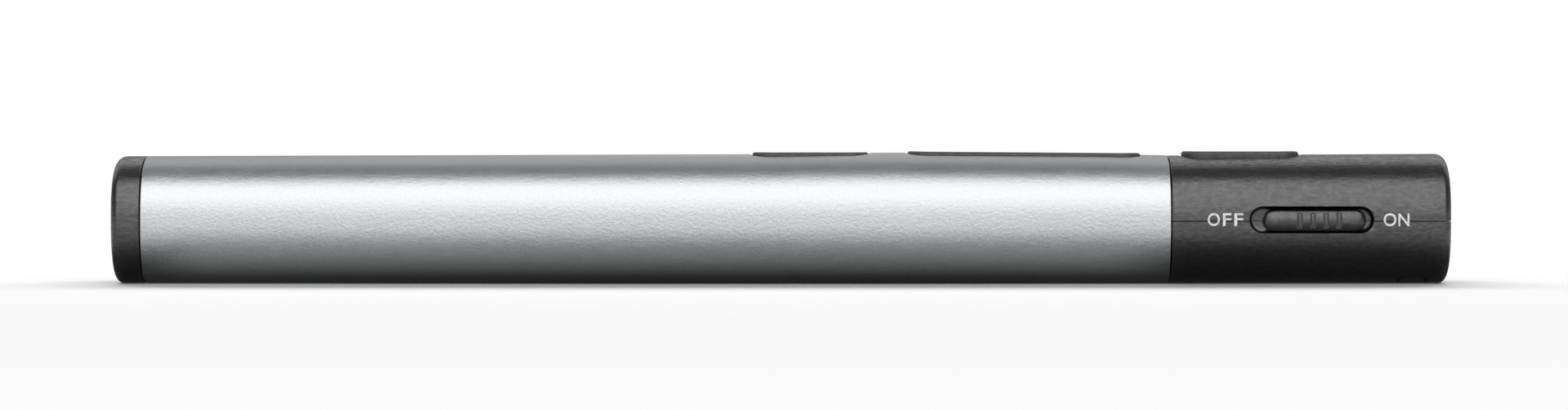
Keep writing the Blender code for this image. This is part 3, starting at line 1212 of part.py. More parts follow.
clear_scene()
ALUMINIUM = material("satin aluminium", (0.60, 0.61, 0.62), 0.36, 1.0)
BLACK_SATIN = material("black satin plastic", (0.028, 0.028, 0.027), 0.42)
KEY_GREY = material("dark grey key plastic", (0.05, 0.05, 0.05), 0.5)
GREY_PLASTIC = material("grey moulded plastic", (0.18, 0.18, 0.19), 0.55)
BOARD_GREEN = material("green solder mask", (0.02, 0.14, 0.06), 0.4)
CHIP_BLACK = material("black chip resin", (0.02, 0.02, 0.02), 0.6)
BRIGHT_STEEL = material("bright steel", (0.62, 0.62, 0.63), 0.25, 1.0)
DARK_STEEL = material("blackened steel", (0.08, 0.08, 0.085), 0.35, 1.0)
NICKEL = material("nickel plate", (0.66, 0.63, 0.58), 0.22, 1.0)
BRASS = material("turned brass", (0.72, 0.50, 0.20), 0.3, 1.0)
GOLD = material("gold contact", (0.83, 0.62, 0.25), 0.25, 1.0)
CELL_WRAP = material("dark grey cell wrap", (0.10, 0.11, 0.13), 0.35)
CLEAR = material("clear polymer", (0.75, 0.78, 0.80), 0.08)

aluminium_tube()
rear_cap()
receiver()
battery()
chassis()
main_board()
snap_dome("screen_key_dome", SCREEN_KEY_X)
snap_dome("page_back_dome", PAGE_BACK_X)
snap_dome("page_forward_dome", PAGE_FORWARD_X)
snap_dome("laser_key_dome", LASER_KEY_X)
plain_key("screen_key", SCREEN_KEY_X, SCREEN_KEY_LENGTH, KEY_PROUD, KEY_GREY)
rocker()
plain_key("laser_key", LASER_KEY_X, LASER_KEY_LENGTH, LASER_KEY_PROUD, KEY_GREY)
pivot_pin()
key_frame()
housing_shell("front_upper_shell", True)
housing_shell("front_lower_shell", False)
switch_knob()
slide_switch()
laser()
screws()
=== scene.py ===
"""Dresses the wireless presenter's packed model: fine pieces, procedural finishes, lettering, stage and
camera. Metres, +X out of the laser nose, -Y towards the camera, Z 0 is the surface that it lies on."""

import math

import bmesh
import bpy
from mathutils import Matrix, Vector


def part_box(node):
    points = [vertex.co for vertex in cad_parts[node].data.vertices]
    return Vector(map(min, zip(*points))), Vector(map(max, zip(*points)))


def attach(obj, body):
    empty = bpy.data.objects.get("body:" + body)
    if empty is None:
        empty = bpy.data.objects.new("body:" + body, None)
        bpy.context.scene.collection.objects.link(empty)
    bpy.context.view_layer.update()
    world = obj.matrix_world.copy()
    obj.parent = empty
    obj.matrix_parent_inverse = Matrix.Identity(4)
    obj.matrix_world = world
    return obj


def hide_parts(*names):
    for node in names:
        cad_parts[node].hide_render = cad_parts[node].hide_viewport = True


bl_info = {
    "name": "Wireless presenter dressing",
    "version": (1, 0, 0),
    "blender": (4, 5, 0),
    "location": "3D Viewport > Sidebar > Presenter",
    "description": "Builds the presenter's visible pieces, finishes, lettering, stage and camera",
    "category": "Object",
}

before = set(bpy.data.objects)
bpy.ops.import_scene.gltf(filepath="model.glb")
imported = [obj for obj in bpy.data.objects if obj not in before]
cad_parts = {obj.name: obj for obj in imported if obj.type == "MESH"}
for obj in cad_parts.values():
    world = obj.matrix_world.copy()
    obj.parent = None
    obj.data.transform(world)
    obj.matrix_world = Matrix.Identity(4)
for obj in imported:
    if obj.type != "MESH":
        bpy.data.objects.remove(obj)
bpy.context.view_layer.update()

MM = 0.001
FORWARD = (1, 0, 0)
UP = (0, 0, 1)


def millimetres(*points):
    """Points and rows of sizes, given in millimetres."""
    return [tuple(number * MM for number in point) for point in points]


# The body: its section, its back, its domed ends, its walls, clearances and seams
LENGTH = 146.0 * MM
WIDTH = 21.0 * MM
HEIGHT = 14.0 * MM
ROUNDNESS = 2.6
BELLY_DEPTH = 0.25 * MM
# Places along the body, and how far the back rises there
BACK_LINE = millimetres(
    (-73.2, -0.10),
    (-40.0, 0.0),
    (-4.0, 0.13),
    (12.0, 0.31),
    (34.0, 0.16),
    (42.5, 0.0),
    (42.6, -0.03),
    (58.0, 0.09),
    (73.2, 0.16),
)
END_X = 73.12 * MM
END_ROUND = 0.95 * MM
END_DOME = 0.05 * MM
# Shares of the half height, and of the dome's depth that is left there
DOME_SHARES = ((0.97, 0.0), (0.75, 0.03), (0.55, 0.15), (0.4, 0.35), (0.25, 0.62), (0.17, 0.84))
TUBE_WALL = 1.0 * MM
HOUSING_WALL = 1.2 * MM
NECK_WALL = 1.0 * MM
NECK_LENGTH = 4.5 * MM
NOSE_WALL = 1.6 * MM
SEAM = 0.12 * MM
FIT = 0.25 * MM
SEAT = 0.3 * MM
PARTING_Z = 6.9 * MM
TAIL_X = -LENGTH / 2
NOSE_X = LENGTH / 2
CAP_SEAM_X = TAIL_X + 3.2 * MM
HOUSING_SEAM_X = NOSE_X - 30.5 * MM
MIDDLE_Z = HEIGHT / 2
SIDE_Y = WIDTH / 2

# Rear cap: the spigot in the tube, and the dock with its closed head
SPIGOT_LENGTH = 4.8 * MM
DOCK_LENGTH = 17.0 * MM
DOCK_HEAD = 1.2 * MM
DOCK_WIDTH = 15.0 * MM
DOCK_HEIGHT = 7.5 * MM
DOCK_CORNER = 0.5 * MM
SCOOP_RADIUS = 4.0 * MM
SCOOP_HEIGHT = 7.9 * MM
SCOOP_X = TAIL_X - 2.5 * MM
MOUTH_FLARE = 0.22 * MM

# Receiver
RECEIVER_CORNER = 0.8 * MM
FINGER_GROOVE = 0.35 * MM
SHEET = 0.3 * MM
PLUG_CORNER = 0.5 * MM
PLUG_WINDOW = 2.0 * MM
PLUG_WINDOW_X = 5.6 * MM  # behind the plug's front end
PLUG_WINDOW_Y = 2.75 * MM

# Keys: middle, length, and the place, the height and the bend of the lowest point of their dished backs
KEYS = {
    "screen_key": (3.25 * MM, 12.8 * MM, (3.25 * MM, 14.30 * MM, 1.1)),
    "page_rocker": (26.8 * MM, 25.6 * MM, (32.0 * MM, 14.222 * MM, 0.72)),
    "laser_key": (50.65 * MM, 12.7 * MM, (50.65 * MM, 14.407 * MM, 1.1)),
}
KEY_WIDTH = 8.0 * MM
KEY_CORNER = 2.2 * MM
KEY_DISH = 1.9  # bend of the backs across the keys
FLANGE = 0.8 * MM
FLANGE_TOP = 12.1 * MM
FLANGE_THICKNESS = 0.5 * MM
OPENING_DEPTH = 2.4 * MM

# Slide switch
RECESS_X = 57.80 * MM
RECESS_Z = 7.07 * MM
RECESS_LENGTH = 13.45 * MM
RECESS_HEIGHT = 2.9 * MM
RECESS_DEPTH = 1.15 * MM
KNOB_X = 58.175 * MM
KNOB_Z = 6.99 * MM
KNOB_LENGTH = 11.2 * MM
KNOB_HEIGHT = 2.47 * MM
KNOB_CROWN = 0.44 * MM
KNOB_FOOT_Y = -9.4 * MM
CROWN_Y = -10.35 * MM
RIBS_X = KNOB_X + 0.48 * MM
RIB_PITCH = 1.43 * MM
RIB_WIDTH = 0.62 * MM
RIB_HEIGHT = 1.71 * MM
RIB_ROOT = 0.6 * MM
POCKET_DEPTH = 0.42 * MM  # of the shallow frame round each rib
STEM_LENGTH = 4.0 * MM
STEM_HEIGHT = 1.3 * MM
STEM_END_Y = -7.9 * MM

# Underside screw holes and their plugs
SINK_X = 69.2 * MM
SINK_Y = 5.5 * MM
SINK_RADIUS = 1.65 * MM
SINK_TOP = 2.6 * MM
SINK_FLARE = 0.06 * MM
HOLE_PLUG_EASE = 0.08 * MM

# Stepped bore in the nose: its depth, where it widens and flares, and its radii
BORE_DEPTH = 3.9 * MM
BORE_SHOULDER = 2.1 * MM
BORE_FLARE = 3.75 * MM
BORE_FLARE_END = 3.95 * MM
BORE_RADIUS = 1.8 * MM
WINDOW_SEAT = 2.33 * MM
BORE_MOUTH = 2.6 * MM

# Letters: character, left edge and right edge, and the middle of each word's height
WORDS = {
    "off_word": (
        7.10 * MM,
        (("O", 46.456 * MM, 47.790 * MM), ("F", 48.119 * MM, 49.035 * MM), ("F", 49.355 * MM, 50.343 * MM)),
    ),
    "on_word": (7.08 * MM, (("O", 65.614 * MM, 66.993 * MM), ("N", 67.215 * MM, 68.425 * MM))),
}

# Stage: the camera's aim, the floor with its turned-up rim, and each lamp's place, width and height in metres
CAMERA_X = 0.33 * MM
CAMERA_AIM_Z = 8.505 * MM
FLOOR_RADIUS = 4.5
FLOOR_ROUND = 0.5
FLOOR_RISE = 1.2
FLOOR_Z = -0.02 * MM
FLOOR_LAMP_SHARE = 0.79
LAMPS = {
    "front softbox": ((0, -0.654, 0.704), 1.7, 1.30),
    "low softbox": ((0, -0.945, 0.130), 1.7, 0.14),
    "back softbox": ((0, 0.728, 0.529), 1.7, 0.52),
    "floor lamp": ((0, 0.77, 0.64), 1.5, 0.5),
    "floor fill": ((0, -0.7, 0.8), 1.5, 0.5),
}

# Fineness of the meshes
ROUND_POINTS = 224
BODY_STEPS = 60
ARC_STEPS = 8
EDGE_STEPS = 4
FOOT_STEPS = 5
CORNER_STEPS = 12
END_STEPS = 24
WELD = 1e-7
OVERRUN = 1.0 * MM
SMOOTH_ANGLE = 32.0


def distance(name, description, size):
    return bpy.props.FloatProperty(
        name=name,
        description=description,
        default=size * MM,
        min=0.0,
        precision=6,
        subtype="DISTANCE",
        unit="LENGTH",
    )


def colour(name, description, *levels):
    levels = levels * 3 if len(levels) == 1 else levels
    return bpy.props.FloatVectorProperty(
        name=name, description=description, default=levels, min=0.0, max=1.0, size=3, subtype="COLOR"
    )


def factor(name, description, share):
    return bpy.props.FloatProperty(
        name=name, description=description, default=share, min=0.0, max=4.0, subtype="FACTOR"
    )


def power(name, watts):
    return bpy.props.FloatProperty(
        name=name, description=f"Power of the {name.lower()}", default=watts, min=0.0, unit="POWER"
    )


class PresenterShape(bpy.types.PropertyGroup):
    """Sizes of the visible edges and marks."""

    rim_ease: distance("Rim ease", "Radius of the eased rims at the seams of the body", 0.10)
    opening_ease: distance("Opening ease", "Radius of the eased edge round each key's opening", 0.12)
    key_ease: distance("Key ease", "Radius of the eased edge round each key's back", 0.28)
    parting_chamfer: distance("Parting chamfer", "Chamfer along the parting line of the housing", 0.03)
    recess_rim: distance("Recess rim", "Radius of the rim round the switch's recess", 0.18)
    recess_foot: distance("Recess foot", "Radius of the foot of the switch's recess", 0.48)
    rib_groove: distance("Rib groove", "Width of the groove round each rib of the knob", 0.12)
    rib_edge: distance("Rib edge", "Bevel of the ribs of the knob", 0.07)
    letter_height: distance("Letter height", "Height of the printed capitals", 1.40)
    ink_height: distance("Ink height", "Thickness of the printed ink", 0.015)


class PresenterFinish(bpy.types.PropertyGroup):
    """Colours and wear of the finishes."""

    aluminium_dark: colour("Aluminium, dark grain", "Darkest grain of the anodised skin", 0.507, 0.522, 0.530)
    aluminium_light: colour("Aluminium, light grain", "Lightest grain of the skin", 0.762, 0.78, 0.79)
    aluminium_roughness: factor("Aluminium roughness", "Roughness of the anodised skin", 0.34)
    plastic_dark: colour("Plastic, dark", "Darkest part of the satin black plastic", 0.002)
    plastic_light: colour("Plastic, light", "Lightest part of the satin black plastic", 0.010)
    plastic_roughness: factor("Plastic roughness", "Roughness of the satin black plastic", 0.20)
    key_dark: colour("Keys, dark", "Darkest part of the key plastic", 0.038)
    key_light: colour("Keys, light", "Lightest part of the key plastic", 0.085)
    ink: colour("Ink", "Colour of the printed words", 0.90, 0.90, 0.91)
    grain: factor("Grain", "Depth of the grain of the skins, against the usual one", 1.0)
    wear: factor("Wear", "How much rubbing and dust show, against the usual amount", 1.0)


class PresenterStage(bpy.types.PropertyGroup):
    """Camera, lamps and background."""

    lens: bpy.props.FloatProperty(
        name="Lens", description="Focal length of the camera in millimetres", default=146.6, min=1.0
    )
    camera_distance: distance("Camera distance", "From the middle of the body to the camera", 705.5)
    camera_rise: bpy.props.FloatProperty(
        name="Camera rise",
        description="Angle at which the camera looks down",
        default=math.radians(1.0),
        subtype="ANGLE",
        unit="ROTATION",
    )
    front_power: power("Front softbox", 10.1)
    low_power: power("Low softbox", 0.86)
    back_power: power("Back softbox", 1.25)
    floor_power: power("Floor lamps", 18.2)
    sky: factor("Sky", "Strength of the room's even light", 0.16)


def swell(x):
    """How far the back of the body rises at x."""
    for (start, low), (end, high) in zip(BACK_LINE, BACK_LINE[1:]):
        if x <= end:
            break
    share = min(max((x - start) / (end - start), 0), 1)
    return low + (high - low) * (0.6 * share + 0.4 * share * share * (3 - 2 * share))


def body_outline(inset, x, share):
    """The point (y, z) at a share of the way round the body's section, moved inwards by inset."""
    angle = 2 * math.pi * share
    across = math.copysign(abs(math.cos(angle)) ** (2 / ROUNDNESS), math.cos(angle))
    up = math.copysign(abs(math.sin(angle)) ** (2 / ROUNDNESS), math.sin(angle))
    reach = MIDDLE_Z - inset + (swell(x) if up > 0 else BELLY_DEPTH)
    return (SIDE_Y - inset) * across, max(MIDDLE_Z + up * reach, inset)


def back_z(x, y):
    """The height of the body's back at (x, y)."""
    share = min(abs(y) / SIDE_Y, 1)
    return MIDDLE_Z + (MIDDLE_Z + swell(x)) * (1 - share**ROUNDNESS) ** (1 / ROUNDNESS)


def belly_z(y):
    """The height of the body's underside at y."""
    share = min(abs(y) / SIDE_Y, 1)
    return max(MIDDLE_Z - (MIDDLE_Z + BELLY_DEPTH) * (1 - share**ROUNDNESS) ** (1 / ROUNDNESS), 0)


def side_y(x, z):
    """The place in y of the body's near side at (x, z)."""
    reach = MIDDLE_Z + (swell(x) if z > MIDDLE_Z else BELLY_DEPTH)
    share = min(abs(z - MIDDLE_Z) / reach, 1)
    return -SIDE_Y * (1 - share**ROUNDNESS) ** (1 / ROUNDNESS)


def arc(centre, radius, start, end, steps=ARC_STEPS):
    """Points along an arc, angles in degrees."""
    points = []
    for step in range(steps + 1):
        angle = math.radians(start + (end - start) * step / steps)
        points.append((centre[0] + radius * math.cos(angle), centre[1] + radius * math.sin(angle)))
    return points


def stations(start, end, steps):
    return [start + (end - start) * step / steps for step in range(steps + 1)]


def rounded(length, width, corner, drawn=0.0, steps=CORNER_STEPS, least=0.05 * MM):
    """A rectangle with round corners, drawn in by so much all round, as points about its middle."""
    length -= 2 * drawn
    width -= 2 * drawn
    corner = min(max(corner - drawn, least), length / 2 * 0.999, width / 2 * 0.999)
    points = []
    for quarter in range(4):
        side = 1 if quarter in (0, 3) else -1
        top = 1 if quarter in (0, 1) else -1
        middle = (side * (length / 2 - corner), top * (width / 2 - corner))
        points += arc(middle, corner, 90 * quarter, 90 * (quarter + 1), steps)
    return points


def settle(name, mesh):
    """Links a bmesh as an object, shaded smooth up to the sharp angle."""
    bmesh.ops.recalc_face_normals(mesh, faces=mesh.faces)
    data = bpy.data.meshes.new(name)
    mesh.to_mesh(data)
    mesh.free()
    soften(data)
    made = bpy.data.objects.new(name, data)
    bpy.context.scene.collection.objects.link(made)
    return made


def soften(data):
    data.shade_smooth()
    data.set_sharp_from_angle(angle=math.radians(SMOOTH_ANGLE))


def sheet(name, columns, rows, place, looped=False):
    """A grid bent round into a closed solid: place(column, row) gives each point. The ends are filled,
    or joined where the rows run in a loop."""
    mesh = bmesh.new()
    spans = rows if looped else rows - 1
    bmesh.ops.create_grid(mesh, x_segments=columns, y_segments=spans, size=0.5)
    for vertex in mesh.verts:
        column = round((vertex.co.x + 0.5) * columns)
        row = round((vertex.co.y + 0.5) * spans)
        vertex.co = place(column % columns, row % rows)
    bmesh.ops.remove_doubles(mesh, verts=mesh.verts, dist=WELD)
    rims = [edge for edge in mesh.edges if edge.is_boundary]
    if rims:
        bmesh.ops.holes_fill(mesh, edges=rims, sides=0)
    return settle(name, mesh)


def hull(name, profile, looped=False):
    """The body's section carried along a profile of (x, inset)."""

    def place(column, row):
        x, inset = profile[row]
        y, z = body_outline(inset, x, (column + 0.5) / ROUND_POINTS)
        return x, y, z

    return sheet(name, ROUND_POINTS, len(profile), place, looped)


def raised(name, layers, looped=False):
    """A closed solid through layers of equally many points (x, y, z)."""
    return sheet(name, len(layers[0]), len(layers), lambda column, row: layers[row][column], looped)


def turned(name, profile, centre, direction=FORWARD, sides=96):
    """A profile of (along, radius) turned about the axis through centre along direction."""
    mesh = bmesh.new()
    points = [mesh.verts.new((radius, 0, along)) for along, radius in profile]
    edges = [mesh.edges.new(pair) for pair in zip(points, points[1:])]
    if profile[0][1] and profile[-1][1]:
        edges.append(mesh.edges.new((points[-1], points[0])))
    bmesh.ops.spin(
        mesh,
        geom=points + edges,
        cent=(0, 0, 0),
        axis=(0, 0, 1),
        angle=2 * math.pi,
        steps=sides,
        use_merge=True,
    )
    bmesh.ops.remove_doubles(mesh, verts=mesh.verts, dist=WELD)
    turn = Vector((0, 0, 1)).rotation_difference(Vector(direction)).to_matrix().to_4x4()
    bmesh.ops.transform(mesh, matrix=Matrix.Translation(centre) @ turn, verts=mesh.verts)
    return settle(name, mesh)


def block(name, low, high, bevel=0.0):
    """A box between two corners with eased edges."""
    mesh = bmesh.new()
    size = [b - a for a, b in zip(low, high)]
    middle = [(a + b) / 2 for a, b in zip(low, high)]
    bmesh.ops.create_cube(mesh, size=1, matrix=Matrix.Translation(middle) @ Matrix.Diagonal((*size, 1)))
    if bevel:
        bmesh.ops.bevel(
            mesh,
            geom=mesh.edges[:],
            offset=bevel,
            affect="EDGES",
            segments=3,
            profile=0.5,
            material=-1,
        )
    return settle(name, mesh)


def combined(piece, operation, *others):
    """The piece after Boolean operations with the others, which are used up."""
    for other in others:
        modifier = piece.modifiers.new(operation.lower(), "BOOLEAN")
        modifier.operation = operation
        modifier.solver = "EXACT"
        modifier.object = other
    graph = bpy.context.evaluated_depsgraph_get()
    worked = bpy.data.meshes.new_from_object(piece.evaluated_get(graph))
    if not worked.polygons:
        raise RuntimeError(f"nothing is left of {piece.name}")
    before = piece.data
    piece.modifiers.clear()
    piece.data = worked
    bpy.data.meshes.remove(before)
    worked.name = piece.name
    soften(worked)
    for other in others:
        mesh = other.data
        bpy.data.objects.remove(other)
        bpy.data.meshes.remove(mesh)
    return piece


def cut(piece, *cutters):
    return combined(piece, "DIFFERENCE", *cutters)


def join(piece, *added):
    return combined(piece, "UNION", *added)


def dressed(piece, body, slot, *nodes, finish=None):
    """Hands the piece to its body, its material slot, its finish and the nodes that it stands for."""
    piece.data.materials.append(look(finish or slot))
    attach(piece, body)
    if nodes:
        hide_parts(*nodes)
    return piece


def both_ways(operation):
    """The method of an operator and the one for a plain number on its left."""
    return (
        lambda self, other: self.combine(operation, self, other),
        lambda self, other: self.combine(operation, other, self),
    )


class Level:
    """A number that varies over a surface, so that node maths is written as a sum."""

    __add__, __radd__ = both_ways("ADD")
    __sub__, __rsub__ = both_ways("SUBTRACT")
    __mul__, __rmul__ = both_ways("MULTIPLY")
    __truediv__, __rtruediv__ = both_ways("DIVIDE")
    __pow__, __rpow__ = both_ways("POWER")

    def __init__(self, finish, socket):
        self.finish = finish
        self.socket = socket

    def __abs__(self):
        return self.combine("ABSOLUTE", self, 0.0)

    def combine(self, operation, first, second):
        node = self.finish.add("ShaderNodeMath", {"operation": operation}, {0: first, 1: second})
        return Level(self.finish, node.outputs[0])

    def most(self, other):
        return self.combine("MAXIMUM", self, other)

    def eased(self, low, high):
        """0 below low, 1 above high, smooth between."""
        node = self.finish.add(
            "ShaderNodeMapRange",
            {"interpolation_type": "SMOOTHSTEP"},
            {"Value": self, "From Min": low, "From Max": high},
        )
        return Level(self.finish, node.outputs["Result"])


class Finish:
    """A procedural material on one Principled shader."""

    def __init__(self, name, **constants):
        self.material = bpy.data.materials.new(name)
        self.material.use_nodes = True
        self.tree = self.material.node_tree
        self.shader = self.tree.nodes["Principled BSDF"]
        for socket, value in constants.items():
            self.shader.inputs[socket.replace("_", " ").title().replace("Ior", "IOR")].default_value = value
        self.places = self.add("ShaderNodeTexCoord").outputs["Object"]

    def add(self, kind, settings=None, inputs=None):
        """A node of the kind, with its settings and its inputs, given as sockets, levels or plain values."""
        node = self.tree.nodes.new(kind)
        for name, value in (settings or {}).items():
            setattr(node, name, value)
        for key, value in (inputs or {}).items():
            if isinstance(value, Level):
                value = value.socket
            if isinstance(value, bpy.types.NodeSocket):
                self.tree.links.new(value, node.inputs[key])
            else:
                node.inputs[key].default_value = value
        return node

    def stretched(self, stretch):
        """The object's coordinates, scaled by stretch."""
        node = self.add("ShaderNodeVectorMath", {"operation": "MULTIPLY"}, {0: self.places, 1: stretch})
        return node.outputs[0]

    def noise(self, size, detail=3.0, roughness=0.5, stretch=(1, 1, 1), places=None):
        """Noise around 0.5 whose blotches measure about size."""
        node = self.add(
            "ShaderNodeTexNoise",
            {"noise_dimensions": "3D"},
            {
                "Vector": places or self.stretched(stretch),
                "Scale": 1 / size,
                "Detail": detail,
                "Roughness": roughness,
            },
        )
        return Level(self, node.outputs["Fac"])

    def cells(self, size, feature="F1", stretch=(1, 1, 1), randomness=1.0):
        node = self.add(
            "ShaderNodeTexVoronoi",
            {"feature": feature},
            {"Vector": self.stretched(stretch), "Scale": 1 / size, "Randomness": randomness},
        )
        return Level(self, node.outputs["Distance"])

    def along(self, axis):
        """The object coordinate on one axis, in metres."""
        node = self.add("ShaderNodeSeparateXYZ", None, {0: self.places})
        return Level(self, node.outputs[axis])

    def blended(self, share, first, second):
        """A colour between two colours."""
        node = self.add(
            "ShaderNodeMix",
            {"data_type": "RGBA", "clamp_factor": True},
            {"Factor": share, "A": first, "B": second},
        )
        return node.outputs["Result"]

    def feed(self, **maps):
        """Links maps to the shader's inputs of those names."""
        for name, value in maps.items():
            socket = value.socket if isinstance(value, Level) else value
            self.tree.links.new(socket, self.shader.inputs[name.replace("_", " ").title()])

    def bump(self, height, distance, strength=1.0):
        inputs = {"Height": height, "Distance": distance, "Strength": strength}
        node = self.add("ShaderNodeBump", None, inputs)
        self.tree.links.new(node.outputs["Normal"], self.shader.inputs["Normal"])


def tone(red, green=None, blue=None, alpha=1.0):
    green = red if green is None else green
    return (red, green, red if blue is None else blue, alpha)


def scratches(finish, size, reach, stretch):
    """Fine lines, 1 on the line and 0 off it."""
    lines = finish.noise(size, 1.0, 0.4, stretch)
    return 1 - abs(lines - 0.5).eased(0.0, reach)


def anodised(colours):
    """Bead-blasted aluminium with a satin anodised skin."""
    finish = Finish("anodised aluminium", metallic=1.0)
    grain = finish.noise(0.24 * MM, 3.0, 0.7)
    patches = finish.noise(1.1 * MM, 3.0, 0.6, (0.35, 1, 1))
    broad = finish.noise(14 * MM, 2.0, 0.5, (0.3, 1, 1))
    worn = finish.noise(9 * MM).eased(0.5, 0.62) * colours.wear
    rubbed = scratches(finish, 5 * MM, 0.004, (0.12, 1, 2.5)) * worn
    pits = finish.noise(0.36 * MM, 4.0, 0.75, (0.75, 1, 1))
    shade = (grain - 0.5) * 0.7 + (pits - 0.5) * 0.35 + (patches - 0.5) * 0.25 + (broad - 0.5) * 0.08 + 0.5
    shade = shade + rubbed * 0.05
    roughness = (grain - 0.5) * 0.2 + (patches - 0.5) * 0.12 + colours.aluminium_roughness
    finish.feed(
        base_color=finish.blended(shade, tone(*colours.aluminium_dark), tone(*colours.aluminium_light)),
        roughness=roughness - rubbed * 0.08,
    )
    finish.bump(grain * 0.4 + pits * 0.7 + patches * 0.2, 0.065 * MM * colours.grain, 1.0)
    return finish.material


def moulded(colours, name, dark, light, roughness, grain_size=0.2 * MM, **constants):
    """Plastic from a spark-eroded mould, polished a little where hands rub it."""
    finish = Finish(name, coat_roughness=roughness, **constants)
    grain = finish.noise(grain_size, 2.0, 0.6)
    patches = finish.noise(1.6 * MM, 3.0, 0.6, (0.4, 1, 1))
    broad = finish.noise(11 * MM, 2.0)
    dust = finish.cells(0.55 * MM).eased(0.16, 0.05) * finish.noise(4 * MM).eased(0.52, 0.7) * colours.wear
    rubbed = scratches(finish, 4 * MM, 0.004, (0.3, 1, 1.6)) * finish.noise(7 * MM).eased(0.52, 0.64)
    rubbed = rubbed * colours.wear
    shade = (grain - 0.5) * 0.9 + (patches - 0.5) * 0.5 + (broad - 0.5) * 0.4 + 0.4
    matt = (grain - 0.5) * 0.2 + (patches - 0.5) * 0.14 - (broad - 0.5).most(0.0) * 0.2 + roughness
    finish.feed(
        base_color=finish.blended(shade + dust * 0.5 + rubbed * 0.6, tone(*dark), tone(*light)),
        roughness=matt - rubbed * 0.08,
        coat_weight=finish.noise(grain_size * 2.4, 4.0, 0.75, (0.6, 1, 1)).eased(0.34, 0.66) * 0.9,
    )
    height = grain * 0.25 + finish.noise(grain_size * 2, 4.0, 0.75, (0.6, 1, 1)) * 0.6 + patches * 0.5
    finish.bump(height, 0.085 * MM * colours.grain, 1.0)
    return finish.material


def metal(name, dark, light, roughness, stretch=(1, 1, 1), size=0.1 * MM, depth=0.003 * MM):
    """Sheet or turned metal, its brush marks across the stretched axis."""
    finish = Finish(name, metallic=1.0)
    marks = finish.noise(size, 2.0, 0.6, stretch)
    tarnish = finish.noise(1.4 * MM, 3.0, 0.6)
    finish.feed(
        base_color=finish.blended(tarnish * 0.7 + marks * 0.3, dark, light),
        roughness=(marks - 0.5) * 0.24 + (tarnish - 0.5) * 0.16 + roughness,
    )
    finish.bump(marks, depth, 1.0)
    return finish.material


def printed(ink):
    """Off-white pad print with thin and worn places."""
    finish = Finish("pad print", specular_ior_level=0.4)
    grain = finish.noise(0.14 * MM, 2.0, 0.6)
    thin = finish.noise(0.5 * MM, 3.0, 0.6).eased(0.3, 0.62)
    finish.feed(
        base_color=finish.blended(thin, tone(*(0.62 * level for level in ink)), tone(*ink)),
        roughness=(grain - 0.5) * 0.2 + 0.55,
    )
    finish.bump(grain, 0.006 * MM, 1.0)
    return finish.material


def circuit():
    """Solder mask over copper tracks, with a weave below."""
    finish = Finish("solder mask", coat_weight=0.35, coat_roughness=0.12)
    x = finish.along(0)
    y = finish.along(1)
    wander = (finish.noise(2.2 * MM, 0.0) - 0.5) * (1.2 * MM)
    lanes = (y + wander) / (0.55 * MM)
    tracks = abs(lanes.combine("PINGPONG", lanes, 0.5) - 0.25)
    copper = tracks.eased(0.11, 0.06) * finish.noise(3.5 * MM, 1.0, 0.5, (0.6, 1, 1)).eased(0.46, 0.52)
    ring = finish.cells(1.9 * MM, randomness=0.8).eased(0.17, 0.14)
    warp = x / (0.3 * MM)
    weft = y / (0.3 * MM)
    weave = warp.combine("SINE", warp, 0.0) * weft.combine("SINE", weft, 0.0)
    green = finish.blended(copper, tone(0.010, 0.085, 0.035), tone(0.030, 0.17, 0.070))
    finish.feed(
        base_color=finish.blended(ring, green, tone(0.62, 0.60, 0.55)),
        roughness=(finish.noise(0.4 * MM) - 0.5) * 0.2 - ring * 0.08 + 0.38,
    )
    finish.bump(copper * 0.6 + ring * 0.8 + weave * 0.15, 0.02 * MM, 1.0)
    return finish.material


def chip():
    """Moulded chip package."""
    finish = Finish("chip package", specular_ior_level=0.4)
    grain = finish.noise(0.09 * MM, 2.0, 0.6)
    finish.feed(
        base_color=finish.blended(grain, tone(0.012), tone(0.045)),
        roughness=(grain - 0.5) * 0.25 + 0.55,
    )
    finish.bump(grain, 0.01 * MM, 1.0)
    return finish.material


def sleeve():
    """Plastic sleeve of the cell: a dark body, a copper-coloured band at the nub end and scuffs."""
    finish = Finish("cell sleeve", coat_weight=0.3, coat_roughness=0.15)
    low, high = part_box("battery_cell")
    place = (finish.along(0) - low.x) / (high.x - low.x)
    band = place.eased(0.745, 0.748)
    line = place.eased(0.725, 0.727) * (1 - place.eased(0.733, 0.735))
    worn = scratches(finish, 3 * MM, 0.006, (0.3, 1, 1)) * finish.noise(5 * MM).eased(0.5, 0.62)
    colour = finish.blended(band, tone(0.018, 0.019, 0.022), tone(0.46, 0.20, 0.075))
    colour = finish.blended(line, colour, tone(0.75, 0.75, 0.74))
    finish.feed(
        base_color=finish.blended(worn * 0.4, colour, tone(0.5)),
        metallic=band * 0.6,
        roughness=(finish.noise(0.7 * MM) - 0.5) * 0.16 + worn * 0.15 + 0.3,
    )
    finish.bump(finish.noise(1.6 * MM) + worn * 0.2, 0.01 * MM, 1.0)
    return finish.material


def window():
    """Clear moulded window with faint flow marks."""
    finish = Finish("clear window", transmission_weight=1.0, ior=1.49)
    flow = finish.noise(1.2 * MM, 2.0)
    finish.feed(
        base_color=finish.blended(flow, tone(0.80, 0.82, 0.84), tone(0.92, 0.93, 0.94)),
        roughness=(flow - 0.5).most(0.0) * 0.1 + 0.06,
    )
    finish.bump(flow, 0.004 * MM, 1.0)
    return finish.material


LOOKS = {}


